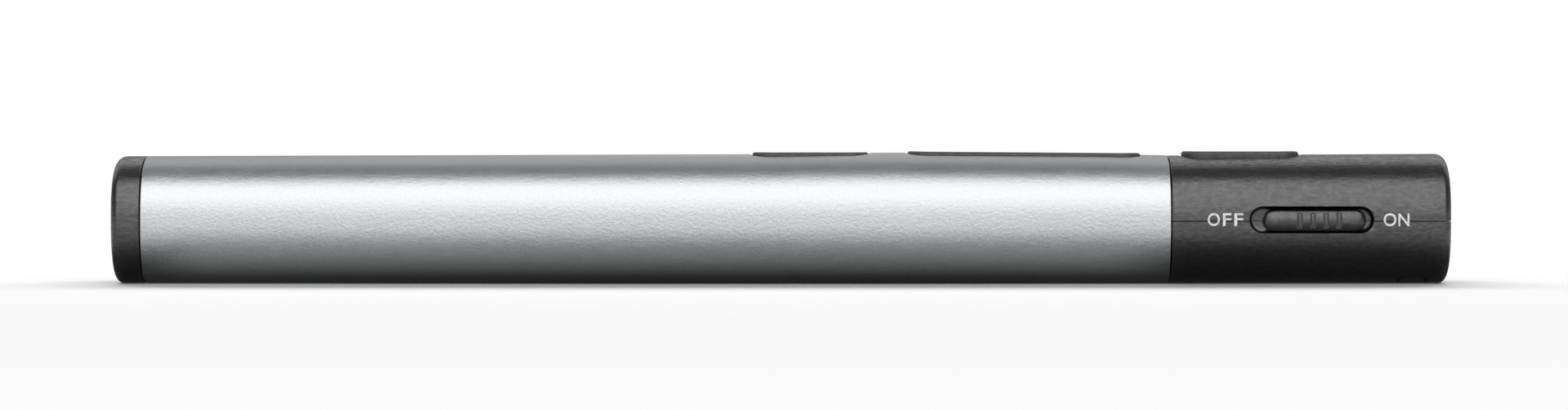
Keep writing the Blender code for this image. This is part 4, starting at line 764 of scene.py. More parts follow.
def make_looks(colours):
    LOOKS["satin_aluminium"] = anodised(colours)
    LOOKS["black_satin_plastic"] = moulded(
        colours,
        "satin black plastic",
        colours.plastic_dark,
        colours.plastic_light,
        colours.plastic_roughness,
        specular_ior_level=0.84,
        ior=1.6,
    )
    LOOKS["key_plastic"] = moulded(
        colours, "key plastic", colours.key_dark, colours.key_light, 0.55, 0.16 * MM
    )
    LOOKS["grey_plastic"] = moulded(colours, "grey plastic", (0.15, 0.15, 0.155), (0.25, 0.25, 0.255), 0.5)
    LOOKS["solder_mask"] = circuit()
    LOOKS["chip_resin"] = chip()
    LOOKS["bright_steel"] = metal("bright steel", tone(0.52), tone(0.74), 0.26, (0.15, 1, 1))
    LOOKS["dark_steel"] = metal("dark steel", tone(0.12), tone(0.24), 0.38)
    LOOKS["nickel_plate"] = metal(
        "nickel plate", tone(0.50, 0.48, 0.44), tone(0.72, 0.70, 0.66), 0.24, (1, 0.15, 1)
    )
    LOOKS["turned_brass"] = metal(
        "turned brass", tone(0.58, 0.40, 0.16), tone(0.80, 0.60, 0.28), 0.28, (4, 0.3, 0.3)
    )
    LOOKS["gold_plate"] = metal(
        "gold plate", tone(0.72, 0.50, 0.18), tone(0.90, 0.68, 0.32), 0.24, (0.15, 1, 1)
    )
    LOOKS["cell_wrap"] = sleeve()
    LOOKS["clear_polymer"] = window()
    LOOKS["print"] = printed(colours.ink)


def look(slot):
    if slot not in LOOKS:
        raise RuntimeError(f"the finishes come first: there is none for {slot}")
    return LOOKS[slot]


def paint_nodes():
    """Gives every packed node the finish of its slot."""
    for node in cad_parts.values():
        slot = node.data.materials[0].name.split(".")[0]
        node.data.materials.clear()
        node.data.materials.append(look(slot))


def ring_profile(start, end, wall, ease, steps):
    """The loop of (x, inset) points round the wall of a tube, its end edges eased."""
    outer = [(x, 0) for x in stations(start + ease, end - ease, steps)]
    front = arc((end - ease, ease), ease, -90, 0)[1:]
    inner_front = arc((end - ease, wall - ease), ease, 0, 90)
    inner = [(x, wall) for x in stations(end - ease, start + ease, steps)][1:]
    back = arc((start + ease, wall - ease), ease, 90, 180)[1:]
    outer_back = arc((start + ease, ease), ease, 180, 270)[:-1]
    return outer + front + inner_front + inner + back + outer_back


def eased_steps(steps):
    """Pairs (inwards, down) of a unit quarter round, from its foot to its top."""
    angles = [math.pi / 2 * step / steps for step in range(steps + 1)]
    return [(1 - math.cos(angle), 1 - math.sin(angle)) for angle in angles]


def key_opening(name, ease):
    """A cutter for a key's opening that flares where it leaves the body's back."""
    x, length, _ = KEYS[name]
    length += 2 * FIT
    width = KEY_WIDTH + 2 * FIT
    corner = KEY_CORNER + FIT
    floor = HEIGHT - OPENING_DEPTH
    layers = [[(x + a, b, floor) for a, b in rounded(length, width, corner)]]
    for inwards, down in eased_steps(EDGE_STEPS):
        outline = rounded(length, width, corner, -ease * inwards)
        layers.append([(x + a, b, back_z(x + a, b) - ease * down) for a, b in outline])
    layers.append([(a, b, HEIGHT + OVERRUN) for a, b, _ in layers[-1]])
    return raised(f"{name} opening", layers)


def build_tube(shape):
    profile = ring_profile(CAP_SEAM_X, HOUSING_SEAM_X, TUBE_WALL, shape.rim_ease, BODY_STEPS)
    tube = hull("tube_skin", profile, looped=True)
    cut(tube, *[key_opening(name, shape.opening_ease) for name in ("screen_key", "page_rocker")])
    dressed(tube, "handset", "satin_aluminium", "aluminium_tube")


def end_profile(end_x, inwards):
    """The (x, inset) points of a domed end with its round rim, from its middle outwards."""
    points = [(end_x + inwards * END_DOME * depth, MIDDLE_Z * inset) for inset, depth in DOME_SHARES]
    for share in stations(1, 0, 2 * ARC_STEPS):
        angle = math.pi / 2 * share
        depth = END_DOME + END_ROUND * (1 - math.sin(angle))
        points.append((end_x + inwards * depth, END_ROUND * (1 - math.cos(angle))))
    return points


def squared(name, places, width, height, corner, middle_z=MIDDLE_Z, looped=False):
    """A bar with a rounded rectangle section through places of (x, inset)."""
    layers = []
    for x, inset in places:
        outline = rounded(width, height, corner, inset)
        layers.append([(x, a, middle_z + b) for a, b in outline])
    return raised(name, layers, looped)


def build_cap(shape):
    ease = shape.rim_ease
    seam = CAP_SEAM_X - SEAM
    inner = TUBE_WALL + FIT
    spigot_end = CAP_SEAM_X + SPIGOT_LENGTH
    dock_end = CAP_SEAM_X + DOCK_LENGTH
    profile = end_profile(-END_X, 1) + arc((seam - ease, ease), ease, -90, 0)
    cap = hull("cap_skin", profile + [(seam, inner), (spigot_end, inner)])
    span = [(spigot_end - OVERRUN, 0), (dock_end - DOCK_HEAD / 2, 0)]
    tunnel = squared("dock tunnel", span, DOCK_WIDTH, DOCK_HEIGHT, DOCK_CORNER)
    head = hull("dock head", [(dock_end - DOCK_HEAD, inner), (dock_end, inner)])
    join(cap, tunnel, head)
    low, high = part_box("receiver_housing")
    plug_low, plug_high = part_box("receiver_plug_shell")
    room = (high.y - low.y + 2 * SEAT, high.z - low.z + 2 * SEAT, RECEIVER_CORNER + SEAT)
    plug_room = (plug_high.y - plug_low.y + 2 * SEAT, plug_high.z - plug_low.z + 2 * SEAT, SEAT)
    outside = TAIL_X - OVERRUN
    body_hollow = squared("receiver room", [(outside, 0), (high.x + SEAT, 0)], *room)
    span = [(high.x - OVERRUN, 0), (plug_high.x + SEAT, 0)]
    plug_hollow = squared("plug room", span, *plug_room)
    mouth = -END_X + END_DOME / 4
    flare_steps = eased_steps(FOOT_STEPS)
    places = [(mouth + MOUTH_FLARE * down, -MOUTH_FLARE * inwards) for inwards, down in flare_steps]
    flare = squared("mouth flare", places + [(outside, -MOUTH_FLARE)], *room)
    edge = 0.25 * MM
    disc = [(0, 0), (0, SCOOP_RADIUS - edge), (edge, SCOOP_RADIUS)]
    disc += [(SCOOP_HEIGHT - edge, SCOOP_RADIUS), (SCOOP_HEIGHT, SCOOP_RADIUS - edge), (SCOOP_HEIGHT, 0)]
    scoop = turned("grip scoop", disc, (SCOOP_X, 0, MIDDLE_Z - SCOOP_HEIGHT / 2), UP)
    cut(cap, body_hollow, plug_hollow, scoop, flare)
    dressed(cap, "rear_cap", "black_satin_plastic", "rear_cap")


def shell_profile(ease):
    """The closed run of (x, inset) round the front housing's wall, from the nose's inside to its outside."""
    seam = HOUSING_SEAM_X + SEAM
    neck_outer = TUBE_WALL + FIT
    neck_inner = neck_outer + NECK_WALL
    nose_inside = NOSE_X - NOSE_WALL
    inner_round = 0.4 * MM
    collar_end = seam + 0.6 * MM
    profile = [(nose_inside, MIDDLE_Z * 0.97), (nose_inside, HOUSING_WALL + inner_round)]
    profile += arc((nose_inside - inner_round, HOUSING_WALL + inner_round), inner_round, 0, -90)[1:]
    inside = stations(nose_inside - inner_round, collar_end, END_STEPS // 2)
    profile += [(x, HOUSING_WALL) for x in inside[1:]]
    profile += [(collar_end, neck_inner), (HOUSING_SEAM_X - NECK_LENGTH, neck_inner)]
    profile += [(HOUSING_SEAM_X - NECK_LENGTH, neck_outer), (seam, neck_outer)]
    profile += arc((seam + ease, ease), ease, 180, 270)
    nose = end_profile(END_X, -1)
    profile += [(x, 0) for x in stations(seam + ease, nose[-1][0], END_STEPS)][1:-1]
    return profile + nose[::-1]


def parting_cutter(upper, chamfer):
    """Takes the other half of the housing away, with a chamfer along the parting line."""
    turn = 1 if upper else -1
    gap = 0.07 * MM
    level = PARTING_Z + turn * gap / 2
    edge = level + turn * 2 * chamfer
    beyond = MIDDLE_Z - turn * 2 * HEIGHT
    far = 3 * SIDE_Y
    outline = [
        (-far, beyond),
        (-far, edge),
        (-SIDE_Y - chamfer, edge),
        (-SIDE_Y + chamfer, level),
        (SIDE_Y - chamfer, level),
        (SIDE_Y + chamfer, edge),
        (far, edge),
        (far, beyond),
    ]
    span = (HOUSING_SEAM_X - 2 * NECK_LENGTH, NOSE_X + OVERRUN)
    return raised("other half", [[(x, y, z) for y, z in outline] for x in span])


def build_housing(shape, upper):
    side = "upper" if upper else "lower"
    shell = hull(f"{side}_shell_skin", shell_profile(shape.rim_ease))
    beyond = BORE_DEPTH + 2 * OVERRUN
    steps = [(0, 0), (0, BORE_RADIUS), (BORE_SHOULDER, BORE_RADIUS), (BORE_SHOULDER, WINDOW_SEAT)]
    steps += [(BORE_FLARE, WINDOW_SEAT), (BORE_FLARE_END, BORE_MOUTH), (beyond, BORE_MOUTH), (beyond, 0)]
    aperture = turned("aperture", steps, (NOSE_X - BORE_DEPTH, 0, MIDDLE_Z))
    cut(shell, parting_cutter(upper, shape.parting_chamfer), switch_recess(shape))
    cut(shell, aperture)
    if upper:
        cut(shell, key_opening("laser_key", shape.opening_ease))
    else:
        for turn in (-1, 1):
            cut(shell, round_column(f"sink {turn}", turn, SINK_RADIUS, SINK_TOP, SINK_FLARE))
    dressed(shell, "handset", "black_satin_plastic", f"front_{side}_shell")


def round_column(name, turn, radius, top, flare):
    """A round column up from the underside over a screw, its foot flared or, with a negative flare, eased."""
    layers = []

    def ring(reach, lift, level=None):
        points = arc((SINK_X, turn * SINK_Y), reach, 0, 360, 64)[:-1]
        layers.append([(x, y, belly_z(y) + lift if level is None else level) for x, y in points])

    ring(radius, 0, top)
    for inwards, down in eased_steps(EDGE_STEPS):
        ring(radius + flare * inwards, abs(flare) * down)
    if flare > 0:
        ring(radius + flare, 0, -OVERRUN)
    else:
        ring(radius * 0.7, 0.02 * MM)
        ring(radius * 0.4, 0.035 * MM)  # a plug's face is hollow by this much
    return raised(name, layers)


def build_plugs():
    """The plugs over the housing's screws, flush with the underside."""
    for index, turn in enumerate((-1, 1)):
        name = f"housing_plug_{index + 1}"
        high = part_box(name)[1]
        plug = round_column(f"{name}_skin", turn, SINK_RADIUS - SEAM, high.z, -HOLE_PLUG_EASE)
        dressed(plug, "handset", "black_satin_plastic", name)


def lying(outline, x, z, level):
    """An outline of (along, up) set upright on the near side at y level."""
    return [(x + a, level, z + b) for a, b in outline]


def switch_recess(shape):
    """The cutter of the switch's recess: round ends, an eased rim and a rounded foot."""
    layers = []
    floor = -SIDE_Y + RECESS_DEPTH
    foot, rim = shape.recess_foot, shape.recess_rim
    steps = eased_steps(FOOT_STEPS)
    places = [(-foot * down, floor - foot * inwards) for inwards, down in steps]
    places += [(rim * inwards, -SIDE_Y + rim * down) for inwards, down in steps]
    places.append((rim, -SIDE_Y - OVERRUN))
    for grow, level in places:
        outline = rounded(RECESS_LENGTH, RECESS_HEIGHT, RECESS_HEIGHT / 2, -grow, END_STEPS)
        layers.append(lying(outline, RECESS_X, RECESS_Z, level))
    return raised("recess cutter", layers)


def build_key(shape, name):
    """A key: its cap with an eased edge and a dished back, and its flange."""
    x, length, (low_x, low_z, bend) = KEYS[name]
    flange = rounded(length, KEY_WIDTH, KEY_CORNER, -FLANGE)
    cap = rounded(length, KEY_WIDTH, KEY_CORNER)
    layers = [[(x + a, b, level) for a, b in flange] for level in (FLANGE_TOP - FLANGE_THICKNESS, FLANGE_TOP)]
    layers.append([(x + a, b, FLANGE_TOP) for a, b in cap])
    ease = shape.key_ease
    places = [(ease * inwards, ease * down) for inwards, down in eased_steps(ARC_STEPS)]
    places += [(inset * MM, 0) for inset in (0.5, 0.8, 1.2, 1.7, 2.3, 3.0, 3.6)]
    for drawn, drop in places:
        outline = rounded(length, KEY_WIDTH, KEY_CORNER, drawn, least=0.25 * MM)
        level = low_z - drop
        layers.append([(x + a, b, level + bend * (x + a - low_x) ** 2 - KEY_DISH * b**2) for a, b in outline])
    dressed(raised(f"{name}_skin", layers), name, "key_plastic", name)


def build_knob(shape):
    """The slide knob with its crowned grip and four ribs, each in a shallow frame."""
    edge, base, proud = 0.2 * MM, 0.3 * MM, 0.02 * MM
    places = [(base * down, KNOB_FOOT_Y - base * inwards) for inwards, down in eased_steps(FOOT_STEPS)]
    for drawn in (0, 0.02, 0.06, 0.12, 0.2, 0.32, 0.46, 0.62, 0.78, 0.94, 1.08):
        drawn *= MM
        share = 1 - drawn / (KNOB_HEIGHT / 2)
        foot = edge * (1 - min(drawn / edge, 1)) ** 2.5
        places.append((drawn, CROWN_Y + KNOB_CROWN * share**2 + foot))
    layers = []
    for drawn, level in places:
        outline = rounded(KNOB_LENGTH, KNOB_HEIGHT, KNOB_HEIGHT / 2, drawn, END_STEPS)
        layers.append(lying(outline, KNOB_X, KNOB_Z, level))
    knob = raised("knob_skin", layers)

    def upright(name, x, start, end, drawn, bevel=0.0):
        wide = RIB_WIDTH / 2 - drawn
        tall = RIB_HEIGHT / 2 - drawn
        return block(name, (x - wide, start, KNOB_Z - tall), (x + wide, end, KNOB_Z + tall), bevel)

    for index in range(4):
        rib_x = RIBS_X + RIB_PITCH * (index - 1.5)
        cut(knob, upright("rib pocket", rib_x, CROWN_Y - OVERRUN, CROWN_Y + POCKET_DEPTH, 0))
        rib = (CROWN_Y - proud, CROWN_Y + RIB_ROOT)
        join(knob, upright("rib bar", rib_x, *rib, shape.rib_groove, shape.rib_edge))
    stem_low = (KNOB_X - STEM_LENGTH / 2, KNOB_FOOT_Y - edge, PARTING_Z - STEM_HEIGHT / 2)
    stem_high = (KNOB_X + STEM_LENGTH / 2, STEM_END_Y, PARTING_Z + STEM_HEIGHT / 2)
    join(knob, block("knob stem", stem_low, stem_high, bevel=edge / 2))
    dressed(knob, "power_knob", "black_satin_plastic", "switch_knob")


def letter(character):
    """One capital as a mesh in the font's own units, with its thickness."""
    curve = bpy.data.curves.new(character, "FONT")
    curve.body = character
    curve.resolution_u = 16
    curve.extrude = 0.5
    curve.offset = 0.012
    written = bpy.data.objects.new(character, curve)
    bpy.context.scene.collection.objects.link(written)
    bpy.context.view_layer.update()
    data = bpy.data.meshes.new_from_object(written.evaluated_get(bpy.context.evaluated_depsgraph_get()))
    bpy.data.objects.remove(written)
    bpy.data.curves.remove(curve)
    return data


def build_word(shape, name):
    """Printed capitals laid on the near side of the housing."""
    middle_z, letters = WORDS[name]
    word = bmesh.new()
    for character, left, right in letters:
        data = letter(character)
        xs = [vertex.co.x for vertex in data.vertices]
        ys = [vertex.co.y for vertex in data.vertices]
        for vertex in data.vertices:
            x = left + (vertex.co.x - min(xs)) / (max(xs) - min(xs)) * (right - left)
            z = middle_z + ((vertex.co.y - min(ys)) / (max(ys) - min(ys)) - 0.5) * shape.letter_height
            lift = shape.ink_height if vertex.co.z > 0 else -0.02 * MM
            vertex.co = (x, side_y(x, z) - lift, z)
        word.from_mesh(data)
        bpy.data.meshes.remove(data)
    dressed(settle(name, word), "handset", "black_satin_plastic", finish="print")


def build_receiver_body():
    """The receiver's moulded body, with finger grooves round it and a dished end."""
    low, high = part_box("receiver_housing")
    groove, ease = FINGER_GROOVE, 0.12 * MM
    dish = ((0.06, 2.5), (0.06, 2.0), (0.06, 1.5), (0.06, 1.1), (0.02, 0.8), (0, 0.6))
    places = [(low.x + depth, inset) for depth, inset in millimetres(*dish)]
    rim = eased_steps(ARC_STEPS)[::-1]
    places += [(low.x + groove * (1 - down), groove * (1 - inwards)) for inwards, down in rim]
    for index in range(3):
        start = low.x + groove * (3 + 4 * index)
        for share in stations(0, 1, CORNER_STEPS):
            depth = math.sin(math.pi * share) ** 1.5
            places.append((start + 2.1 * groove * share, groove * depth))
    places += [(high.x - ease * down, ease * inwards) for inwards, down in eased_steps(EDGE_STEPS)]
    body = squared("receiver_body", places, high.y - low.y, high.z - low.z, RECEIVER_CORNER)
    board_low, board_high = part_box("receiver_board")
    pocket = block(
        "board pocket",
        (board_low.x - FIT, board_low.y - FIT, board_low.z - FIT),
        (high.x + OVERRUN, board_high.y + FIT, board_high.z + FIT),
    )
    cut(body, pocket)
    dressed(body, "receiver", "black_satin_plastic", "receiver_housing")


def build_receiver_plug():
    """The folded sheet of the receiver's plug, with its four windows and the seam along its underside."""
    low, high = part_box("receiver_plug_shell")
    height = high.z - low.z
    ease, seam_half, seam_depth = 0.08 * MM, 0.03 * MM, 0.16 * MM
    places = ring_profile(low.x, high.x, SHEET, ease, 6)
    plug = squared("receiver_plug", places, high.y - low.y, height, PLUG_CORNER, looped=True)
    window_x = high.x - PLUG_WINDOW_X
    opening = rounded(PLUG_WINDOW, PLUG_WINDOW, 0.18 * MM)
    for across in (-PLUG_WINDOW_Y, PLUG_WINDOW_Y):
        span = (MIDDLE_Z - height, MIDDLE_Z + height)
        cut(plug, raised("window", [[(window_x + a, across + b, z) for a, b in opening] for z in span]))
    seam = block(
        "seam",
        (low.x - OVERRUN, -seam_half, low.z - OVERRUN),
        (high.x + OVERRUN, seam_half, low.z + seam_depth),
    )
    cut(plug, seam)
    dressed(plug, "receiver", "bright_steel", "receiver_plug_shell")


def build_receiver_tongue():
    """The receiver's board, chamfered at its tip, and its four gold contacts."""
    low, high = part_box("receiver_board")
    ease, chamfer = 0.05 * MM, 0.35 * MM
    outline = rounded(high.y - low.y, high.z - low.z, 0.1 * MM)
    layers = []
    for x, inset in ((low.x, ease), (low.x + ease, 0), (high.x - chamfer, 0), (high.x, chamfer / 2)):
        across, up = 1 - inset / high.y, 1 - inset / (high.z - MIDDLE_Z)
        layers.append([(x, a * across, MIDDLE_Z + b * up) for a, b in outline])
    dressed(raised("receiver_tongue", layers), "receiver", "solder_mask", "receiver_board")
    ease = 0.06 * MM
    for index in range(4):
        name = f"receiver_contact_{index + 1}"
        low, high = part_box(name)
        middle = (low + high) / 2
        rim = high.z - ease
        layers = []
        for drawn, level in ((0, low.z), (0, rim), (0.3 * ease, rim + 0.7 * ease), (ease, high.z)):
            outline = rounded(high.x - low.x, high.y - low.y, 0.25 * MM, drawn, 6)
            layers.append([(middle.x + a, middle.y + b, level) for a, b in outline])
        dressed(raised(f"{name}_skin", layers), "receiver", "gold_plate", name)


def build_cell():
    """The cell: a steel can with its nub and base, and the sleeve shrunk over its shoulders."""
    low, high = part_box("battery_cell")
    axis_z = (low.z + high.z) / 2
    radius = (high.z - low.z) / 2
    length = high.x - low.x
    shoulder = length - 0.9 * MM
    inside = radius - 0.09 * MM
    nub = 1.9 * MM
    base_rings = ((0.22, 0), (0.22, 2.6), (0.06, 3.0), (0.06, 4.0), (0.3, 4.2), (0.3, 4.45), (0.12, 4.6))
    can = millimetres(*base_rings)
    can += [(0.7 * MM, inside), (shoulder - 0.8 * MM, inside)]
    can += [(shoulder - 0.15 * MM, 4.6 * MM), (shoulder - 0.15 * MM, nub + 0.35 * MM)]
    can += arc((shoulder + 0.2 * MM, nub + 0.35 * MM), 0.35 * MM, 180, 270, 6)[1:]
    can += arc((length - 0.25 * MM, nub - 0.3 * MM), 0.25 * MM, 90, 0, 6)
    can += [(length, 0.9 * MM), (length - 0.06 * MM, 0.7 * MM), (length - 0.06 * MM, 0)]
    base = (low.x, 0, axis_z)
    dressed(turned("cell_can", can, base), "battery", "nickel_plate", "battery_cell")
    fold = 0.55 * MM
    outer = [(0.02 * MM, 4.55 * MM)]
    outer += arc((fold, radius - fold), fold, 180, 90, 10)
    outer += [(x, radius) for x in stations(fold, shoulder - fold, 24)][1:-1]
    outer += arc((shoulder - fold, radius - fold), fold, 90, 0, 10)
    outer += [(shoulder - 0.02 * MM, 4.1 * MM)]
    lip = shoulder - 0.11 * MM
    inner = [(lip, 4.12 * MM), (lip, 4.7 * MM), (shoulder - fold, inside)]
    inner += [(fold, inside), (0.11 * MM, 4.75 * MM), (0.11 * MM, 4.57 * MM)]
    dressed(turned("cell_sleeve", outer + inner, base), "battery", "cell_wrap", "battery_cell")


def build_spring():
    """The tapering contact spring: round wire, its last turns closed down flat."""
    low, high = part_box("contact_spring")
    axis_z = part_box("battery_cell")[0].z + 5.25 * MM
    wire = 0.25 * MM
    turns = 3.0
    wide_end, narrowing = 3.55 * MM, 1.6 * MM
    closed_share = 0.12  # of the wire, at each end
    rows, columns = 160, 14

    def place(column, row):
        share = row / (rows - 1)
        angle = 2 * math.pi * turns * share
        climb = min(max((share - closed_share) / (1 - 2 * closed_share), 0), 1)
        x = low.x + wire + (high.x - low.x - 2 * wire) * climb
        around = 2 * math.pi * column / columns
        out = wide_end - narrowing * share + wire * math.cos(around)
        return x + wire * math.sin(around), out * math.cos(angle), axis_z + out * math.sin(angle)

    spring = sheet("contact_spring_wire", columns, rows, place)
    dressed(spring, "rear_cap", "nickel_plate", "contact_spring")


def build_contact_plates():
    """The sheet contacts at the ends of the cell, each with a pressed ring or dimple."""
    ring = millimetres((-0.05, 0.9), (0.1, 0.95), (0.16, 1.15), (0.1, 1.35), (-0.05, 1.4))
    dimple = millimetres((-0.05, 0), (-0.05, 1.75), (0.02, 1.65), (0.11, 1.3), (0.17, 0.8), (0.19, 0))
    ease = 0.07 * MM
    plates = (("rear_contact_plate", "rear_cap", 1, ring), ("front_contact_plate", "handset", -1, dimple))
    for name, body, towards, press in plates:
        low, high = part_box(name)
        middle_z = (low.z + high.z) / 2
        size = high.y - low.y
        near, far = (high.x, low.x) if towards > 0 else (low.x, high.x)
        places = [(far, ease), (far + towards * ease, 0), (near - towards * ease, 0), (near, ease)]
        plate = squared(f"{name}_skin", places, size, size, 1.1 * MM, middle_z)
        join(plate, turned("press", press, (near, 0, middle_z), (towards, 0, 0), sides=48))
        dressed(plate, body, "nickel_plate", name)


def round_size(node):
    """The rear end in x, the length and the radius of a round node on the body's axis."""
    low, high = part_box(node)
    return low.x, high.x - low.x, (high.z - low.z) / 2


def nose_piece(name, node, slot, x, profile, *cutters):
    made = turned(name, profile, (x, 0, MIDDLE_Z))
    if cutters:
        cut(made, *cutters)
    dressed(made, "handset", slot, node)


def build_laser():
    """What shows of the laser through the nose: the window, the lens ring, the lens and the barrel."""
    x, long, outer = round_size("nose_window")
    edge = 0.12 * MM
    pane = [(0, 0), (0, outer - edge), (edge, outer), (long - edge, outer)]
    pane += [(long - 0.05 * MM, outer - 0.06 * MM), (long - 0.03 * MM, outer * 0.85)]
    pane += [(long - 0.02 * MM, outer * 0.5), (long, 0)]
    nose_piece("nose_pane", "nose_window", "clear_polymer", x, pane)
    x, long, outer = round_size("laser_lens_ring")
    ring = [(0, 1.3 * MM), (0, outer), (long - edge, outer), (long, outer - edge)]
    ring += [(long, 1.62 * MM), (long - 0.25 * MM, 1.37 * MM), (long - 0.3 * MM, 1.3 * MM)]
    slots = block(
        "ring slots",
        (x + long - 0.28 * MM, -0.35 * MM, MIDDLE_Z - 2 * outer),
        (x + long + OVERRUN, 0.35 * MM, MIDDLE_Z + 2 * outer),
    )
    nose_piece("lens_ring", "laser_lens_ring", "turned_brass", x, ring, slots)
    x, long, outer = round_size("laser_lens")
    bulge = 0.32 * long
    angles = [math.pi / 2 * share for share in stations(0, 1, 14)]
    lens = [(bulge * (1 - math.cos(angle)), outer * math.sin(angle)) for angle in angles]
    lens += [(long - along, out) for along, out in reversed(lens)]
    nose_piece("lens", "laser_lens", "clear_polymer", x, lens)
    x, long, outer = round_size("laser_barrel")
    bore, groove, chamfer = outer - 0.7 * MM, outer - 0.16 * MM, 0.3 * MM
    barrel = [(0, bore), (0, outer - chamfer), (chamfer, outer)]
    for index in range(3):
        start = (1.6 + 0.9 * index) * MM
        barrel += [(start, outer), (start + edge, groove)]
        barrel += [(start + 3 * edge, groove), (start + 4 * edge, outer)]
    barrel += [(long - chamfer, outer), (long, outer - chamfer)]
    barrel += [(long, bore + 0.2 * MM), (long - 0.2 * MM, bore)]
    nose_piece("barrel", "laser_barrel", "turned_brass", x, barrel)


def build_inner_parts():
    """Soft edges on what shows inside when the cell is out: the return strip and the board's chips."""
    parts = (
        ("return_strip", "nickel_plate", 0.05 * MM),
        ("control_chip", "chip_resin", 0.08 * MM),
        ("radio_chip", "chip_resin", 0.08 * MM),
    )
    for name, slot, bevel in parts:
        dressed(block(f"{name}_skin", *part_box(name), bevel), "handset", slot, name)


def lamp(name, power):
    place, width, height = LAMPS[name]
    data = bpy.data.lights.new(name, "AREA")
    data.shape = "RECTANGLE"
    data.size = width
    data.size_y = height
    data.energy = power
    made = bpy.data.objects.new(name, data)
    made.location = place
    aim = Vector((0, 0, MIDDLE_Z)) - Vector(place)
    made.rotation_euler = aim.to_track_quat("-Z", "Y").to_euler()
    bpy.context.scene.collection.objects.link(made)
    return made


def floor_look():
    """Pale matt floor. It fades into a white distance. Close to the body, glossy rays see it painted dark
    (painted shade in the body's reflections), the more so under the black pieces."""
    finish = Finish("pale floor", roughness=0.7, specular_ior_level=0.2)
    grain = finish.noise(6 * MM, 3.0)
    finish.feed(
        base_color=finish.blended(grain, tone(0.80), tone(0.84)), roughness=(grain - 0.5) * 0.1 + 0.7
    )
    finish.bump(grain, 0.05 * MM, 0.3)
    paths = finish.add("ShaderNodeLightPath").outputs
    along, across = finish.along(0), finish.along(1)
    glossy = Level(finish, paths["Is Glossy Ray"])
    # the white glow that glossy rays see is dimmed, most of all well beyond the ends of the body
    mirrored = glossy * (1 - abs(along).eased(0.09, 0.30) * 0.8) * 0.84
    seen = mirrored.most(Level(finish, paths["Is Camera Ray"]))
    seen = seen.most(Level(finish, paths["Is Transmission Ray"]))
    away = finish.add("ShaderNodeVectorMath", {"operation": "LENGTH"}, {0: finish.places})
    distant = seen * Level(finish, away.outputs["Value"]).eased(0.0, 0.38)
    past_end = (abs(along) - LENGTH / 2).most(0.0)
    reach = (past_end**2.0 + abs(across) ** 2.0) ** 0.5
    # the painted shade reaches further out under the housing and the cap
    under_housing = along.eased(0.034, 0.046)
    under_cap = (0 - along).eased(0.062, 0.072)
    reach = reach * (1 - under_housing.most(under_cap) * 0.36)
    # painted shade: near the body, glossy rays see the floor mixed towards a dark emission, standing in for
    # shade in its reflections
    shade = 1 - reach.eased(0.0038, 0.0148) * 0.8 - reach.eased(0.02, 0.10) * 0.2
    painted_shade_share = glossy * shade * 0.93
    surface = finish.shader.outputs[0]
    for share, level in ((distant, 1.0), (painted_shade_share, 0.02)):
        glow = finish.add("ShaderNodeEmission", None, {"Color": tone(level), "Strength": 1.0})
        mix = finish.add("ShaderNodeMixShader", None, {0: share, 1: surface, 2: glow.outputs[0]})
        surface = mix.outputs[0]
    finish.tree.links.new(surface, finish.tree.nodes["Material Output"].inputs["Surface"])
    return finish.material


def build_floor():
    """A flat floor whose far rim turns up all round."""
    rim = arc((FLOOR_RADIUS - FLOOR_ROUND, 0.0), FLOOR_ROUND, -90, 0, 12)
    profile = [(0.0, reach) for reach in (0.0, 0.05, 0.1, 0.2, 0.5, 1.0, 2.0)]
    profile += [(z + FLOOR_ROUND, reach) for reach, z in rim]
    profile += [(FLOOR_RISE, FLOOR_RADIUS)]
    floor = turned("floor", profile, (0, 0, FLOOR_Z), UP)
    floor.data.materials.append(floor_look())
    return floor


def lit_collection(name, floor):
    lit = bpy.data.collections.new(name)
    lit.objects.link(floor)
    return lit


def build_lights(stage, floor):
    world = bpy.data.worlds.new("studio")
    world.use_nodes = True
    background = world.node_tree.nodes["Background"].inputs
    background["Color"].default_value = tone(0.98, 0.99, 1.0)
    background["Strength"].default_value = stage.sky
    bpy.context.scene.world = world
    front = lamp("front softbox", stage.front_power)
    low = lamp("low softbox", stage.low_power)
    lamp("back softbox", stage.back_power)
    only_floor = lit_collection("floor only", floor)
    for name, share in (("floor lamp", FLOOR_LAMP_SHARE), ("floor fill", 1 - FLOOR_LAMP_SHARE)):
        lamp(name, stage.floor_power * share).light_linking.receiver_collection = only_floor
    no_floor = lit_collection("all but the floor", floor)
    no_floor.collection_objects[0].light_linking.link_state = "EXCLUDE"
    for softbox in (front, low):
        softbox.light_linking.receiver_collection = no_floor


def build_camera(stage):
    data = bpy.data.cameras.new("camera")
    data.lens = stage.lens
    data.sensor_width = 36
    data.clip_start = 0.02
    data.clip_end = 20
    camera = bpy.data.objects.new("camera", data)
    rise = stage.camera_rise
    away = stage.camera_distance
    camera.location = (CAMERA_X, -away, CAMERA_AIM_Z + away * math.tan(rise))
    camera.rotation_euler = (math.pi / 2 - rise, 0, 0)
    bpy.context.scene.collection.objects.link(camera)
    bpy.context.scene.camera = camera
    bpy.context.scene.view_settings.view_transform = "Standard"


UNDOABLE = {"REGISTER", "UNDO"}


class PRESENTER_OT_finishes(bpy.types.Operator):
    """Make the finishes and put them on the packed nodes"""

    bl_idname = "presenter.finishes"
    bl_label = "Finishes"
    bl_options = UNDOABLE

    def execute(self, context):
        make_looks(context.scene.presenter_finish)
        paint_nodes()
        return {"FINISHED"}


class PRESENTER_OT_tube(bpy.types.Operator):
    """Build the aluminium tube with its key openings"""

    bl_idname = "presenter.tube"
    bl_label = "Tube"
    bl_options = UNDOABLE

    def execute(self, context):
        build_tube(context.scene.presenter_shape)
        return {"FINISHED"}


class PRESENTER_OT_cap(bpy.types.Operator):
    """Build the rear cap with its dock"""

    bl_idname = "presenter.cap"
    bl_label = "Rear cap"
    bl_options = UNDOABLE

    def execute(self, context):
        build_cap(context.scene.presenter_shape)
        return {"FINISHED"}


